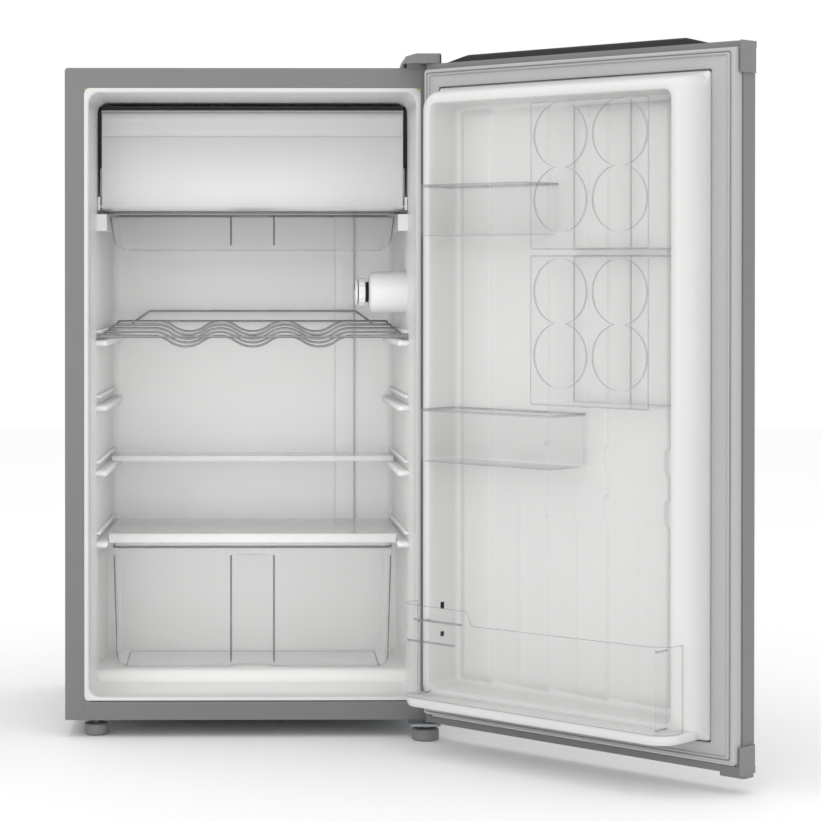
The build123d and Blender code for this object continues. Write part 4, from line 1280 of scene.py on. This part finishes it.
@dataclass
class BottleGuard:
    """Clear rail in front of the bottles at the foot of the door."""

    x0: float = -420.0
    x1: float = -28.0
    back: float = 66.0
    front: float = 103.0
    radius: float = 26.0
    z0: float = 72.3
    z1: float = 168.0
    wall: float = 2.0
    clip_x: float = -141.0
    clip_z: float = 185.0

    def path(self, inset: float) -> np.ndarray:
        """Gives the rail's plan: back along one end, round a corner, across and back again.

        Args:
            inset: How far inside the outer face.

        Returns:
            Points of (across, inwards).
        """
        r = self.radius - inset
        left = arc((self.x0 + self.radius, self.front - self.radius), r, 180, 90, 10)
        right = arc((self.x1 - self.radius, self.front - self.radius), r, 90, 0, 10)
        ends = np.array([[self.x0 + inset, self.back], [self.x1 - inset, self.back]])
        middle = np.linspace(self.x0 + self.radius + 4, self.x1 - self.radius - 4, 60)
        across = np.stack([middle, np.full_like(middle, self.front - inset)], -1)
        return np.vstack([ends[:1], np.array(left), across, np.array(right), ends[1:]])

    def build(self) -> bpy.types.Object:
        """Builds the rail.

        Its top edge is a smooth step up to the clip's height near the hinge side, plus a straight rise towards the
        free side.

        Returns:
            The object.
        """
        outer, inner = self.path(0.0), self.path(self.wall)
        x = outer[:, 0]
        step = np.clip((x - self.clip_x + 3) / 6, 0, 1)
        rise = 3.0 * np.clip((-x - 150) / 250, 0, 1)
        top = self.z1 + (self.clip_z - self.z1) * smooth(step) + rise
        low = np.full_like(x, self.z0)
        ring = [
            (outer, low + 0.5),
            (outer, top - 0.7),
            ((outer * 3 + inner) / 4, top),
            ((outer + inner * 3) / 4, top),
            (inner, top - 0.7),
            (inner, low + 0.5),
            ((outer + inner * 3) / 4, low),
            ((outer * 3 + inner) / 4, low),
        ]
        rings = np.stack([np.concatenate([p, z[:, None]], -1) for p, z in ring], axis=1)
        shape = Shape(on_door)
        # Bands tagged 1 here, and the small rails and post ends below, get painted edge shade in dark grey.
        shape.grid(rings.transpose(1, 0, 2), along=True, tags=np.array([0, 1, 1, 1, 0, 1, 1, 1]))
        shape.fan(rings[0], 1)
        shape.fan(rings[-1], 1)
        for z, reach in ((168.0, -70.0), (142.0, -60.0)):
            rail = np.array([[x, self.front + 0.6, z] for x in (reach - 60, reach, reach + 14)])
            shape.tube(rail, 1.4, (0, 1, 0), 10, tag=1)
        for x0, x1 in ((-399.4, -397.4), (-50.6, -48.6)):
            ends = [(0.8, self.z0 + 2), (0, self.z0 + 4), (0, self.z1 - 6), (0.8, self.z1 - 4)]
            post = inset_rows((x0, x1, self.back + 1, self.front - 14), 1.8, ends)
            shape.rings(rounded_rings(post, corner=4), tags=np.array([1, 0, 1]))
        return shape.build("bottle_guard_rail", "guard", Slot.clear_plastic, ("bottle_guard",), (CLEAR_EDGE_SHADE,))


# ---------------------------------------------------------------- door
@dataclass
class DoorLiner:
    """White formed inner side of the door: flange, raised rim, fluted floor and bottle ledge."""

    flute: float = 87.0
    flute_from: float = -108.0
    flute_depth: float = 4.5
    joggles: tuple[float, ...] = (369.0, 310.0)  # heights at which the flutes' steps shift sideways
    slots: tuple[tuple[float, float], ...] = ((174.0, 182.0), (140.0, 146.0))
    low: float = 84.0
    high: float = 787.0
    left: float = -396.0
    right: float = -52.0
    base: float = 13.0

    def rim_rows(self) -> list[tuple[float, ...]]:
        """Gives the rings from the flange's back, over the raised rim, down to the floor.

        Returns:
            Rows for rounded_rings.
        """
        return [
            (-450.3, -0.7, 31.4, 837.6, 4, 5.0),
            (-450.3, -0.7, 31.4, 837.6, 4, 7.6),
            (-449.9, -1.1, 31.8, 837.2, 4, 8.0),
            (-423.6, -23.2, 57.2, 814.3, 4, 8.2),
            (-423.3, -23.5, 57.5, 814.0, 4, 9.2),
            (-423.0, -23.8, 57.8, 813.4, 5, 19.0),
            (-422.6, -24.8, 58.4, 810.6, 13, 23.0),
            (-421.6, -25.8, 59.2, 808.8, 15, 34.0),
            (-419.8, -27.4, 60.6, 807.0, 16, 46.0),
            (-417.0, -30.0, 62.8, 804.6, 17, 55.0),
            (-413.2, -33.8, 66.0, 801.4, 17, 61.4),
            (-408.6, -38.8, 70.6, 797.8, 16, 64.9),
            (-404.0, -43.6, 75.4, 794.4, 13, 65.7),
            (-401.8, -46.0, 78.0, 792.4, 11, 64.8),
            (-400.6, -47.4, 79.4, 791.4, 10, 62.0),
            (-400.2, -47.8, 79.8, 791.0, 10, 54.0),
            (-399.6, -48.4, 80.4, 790.4, 10, 22.0),
            (-398.4, -49.6, 81.6, 789.2, 9, 17.0),
            (-395.5, -52.5, 84.5, 786.3, 8, 14.6),
            (-391.0, -57.0, 89.0, 781.8, 8, 14.0),
        ]

    def floor(self, x: np.ndarray, z: np.ndarray) -> np.ndarray:
        """Height of the fluted floor.

        Each flute rises in a straight slope and drops at its end in a smooth step; the place of the step moves to
        and fro with height as two soft square waves. A soft round rib runs up each flute.

        Args:
            x: Places across the door.
            z: Heights.

        Returns:
            Height of the surface over the door's plane.
        """
        bump = sum(np.clip(1 - np.abs(z - mid) / 17, 0, 0.35) / 0.35 for mid in self.joggles)
        turn = (-x + self.flute_from) / self.flute + 0.05 * bump * (x < -150)
        phase = turn - np.floor(turn)
        rise = np.clip(phase / 0.93, 0, 1)
        drop = np.clip((1 - phase) / 0.07, 0, 1)
        height = self.flute_depth * rise * smooth(drop)
        rib = 0.9 * np.exp(-(((phase - 0.5) / 0.05) ** 2)) * np.clip((345 - z) / 60, 0, 1)
        inside = np.minimum(np.minimum(x - self.left, self.right - x), np.minimum(z - self.low, self.high - z))
        return self.base + (1.4 + height + rib) * smooth(np.clip(inside / 9, 0, 1))

    def build(self) -> bpy.types.Object:
        """Builds the liner.

        Returns:
            The object.
        """
        shape = Shape(on_door_face)
        shape.rings(rounded_rings(self.rim_rows(), corner=9))
        across = np.linspace(self.left, self.right, 345)
        bands = ((self.low, 280, 40), (282, 404, 90), (408, self.high, 70))  # finest at the joggles
        up = np.concatenate([np.linspace(*band) for band in bands])
        x, z = np.meshgrid(across, up, indexing="ij")
        top = np.stack([x, z, self.floor(x, z)], -1)
        under = outline(np.stack([x, z, np.full_like(x, self.base - 4)], -1))
        shape.grid(top)
        shape.grid(np.stack([outline(top), under]), around=True)
        shape.fan(under)
        ledge = [
            (-413.0, -35.0, 20.0, 94.0, 19, 60.0),
            (-417.5, -30.5, 20.0, 98.5, 23, 60.8),
            (-419.6, -28.4, 20.0, 100.6, 25, 63.4),
            (-420.0, -28.0, 20.0, 101.0, 25, 66.0),
            (-420.0, -28.0, 20.0, 101.0, 25, 69.4),
            (-419.2, -28.8, 20.0, 100.2, 24.4, 71.4),
            (-417.4, -30.6, 20.0, 98.4, 23, 72.0),
        ]
        plan = Shape(on_door)
        plan.rings(rounded_rings(ledge, corner=9))
        shape.join(plan)
        # Painted shadow: each clip slot is a small black box (tag 1) standing for the shade down in the slot.
        for z0, z1 in self.slots:
            slot = [(-49.0, -47.6, z0, z1, 0.6, inwards) for inwards in (39.5, 45.0)]
            shape.rings(rounded_rings(slot, corner=2), tags=np.array([1]))
        stands_for = ("door_liner", "door_foam")
        return shape.build("door_liner_skin", "door", Slot.liner_plastic, stands_for, (SHADOW_GAP,))


@dataclass
class DoorSeal:
    """Grey magnetic seal: a flat band with two thin ridges along its outer edge."""

    outer: tuple[float, float, float, float] = (-457.5, 1.5, 35.0, 838.5)
    inner: tuple[float, float, float, float] = (-424.6, -22.0, 56.0, 815.5)
    back: float = 8.2

    def build(self) -> bpy.types.Object:
        """Builds the seal: its section is carried round, each ring a blend of the outer and the inner rectangle.

        Returns:
            The object.
        """
        section = [
            (0.0, self.back), (0.0, 14.5), (0.03, 18.6), (0.08, 20.3), (0.14, 20.7), (0.19, 20.2), (0.215, 17.6),
            (0.24, 17.6), (0.265, 20.1), (0.31, 20.6), (0.35, 20.0), (0.375, 18.2), (0.41, 18.4), (0.45, 19.2),
            (0.90, 19.6), (0.97, 19.4), (0.995, 19.0), (1.0, 17.0), (1.0, self.back),
        ]  # fmt: skip
        a, b = np.array(self.outer), np.array(self.inner)
        rows = [(*(a + (b - a) * t), 3.0, h) for t, h in section]
        shape = Shape(on_door_face)
        shape.rings(rounded_rings(rows, corner=9), closed=True)
        return shape.build("door_seal", "door", Slot.seal_rubber, ("door_gasket",))


# ---------------------------------------------------------------- whole
def main() -> None:
    """Builds the refrigerator and its studio, in order."""
    Studio().build()
    dress_nodes(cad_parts)
    InnerLiner().build()
    Thermostat().build()
    FlapGapShadow().build()
    FreezerFlap().build()
    ClearBox(
        "chill_tray_tub", "tray", "chill_tray", (-187.0, 187.0, 106.0, 298.0), 614.5, 665.0, rim=7.0, taper=6.0,
        fillet=16.0, wall=2.0, grip_depth=10.0, corner=12.0,
    ).build()  # fmt: skip
    ClearBox(
        "crisper_drawer_tub", "drawer", "crisper_drawer", (-182.6, 182.6, 112.0, 268.0), 69.0, 229.0, rim=0.0,
        taper=1.6, fillet=16.0, wall=2.5, grip_depth=17.5, corner=12.0, grip_top=12.0,
    ).build()  # fmt: skip
    DoorBin("upper_bin_shell", "bin_upper", "upper_bin", -214.0, -49.5, 630.0, 692.0).build()
    DoorBin("middle_bin_shell", "bin_middle", "middle_bin", -254.0, -49.5, 357.0, 421.0).build()
    CanRack("can_rack_upper_shell", "cans_upper", "can_rack_upper", 612.0, 783.0).build()
    CanRack("can_rack_lower_shell", "cans_lower", "can_rack_lower", 433.0, 606.0).build()
    BottleGuard().build()
    DoorLiner().build()
    DoorSeal().build()


if __name__ == "__main__":
    main()
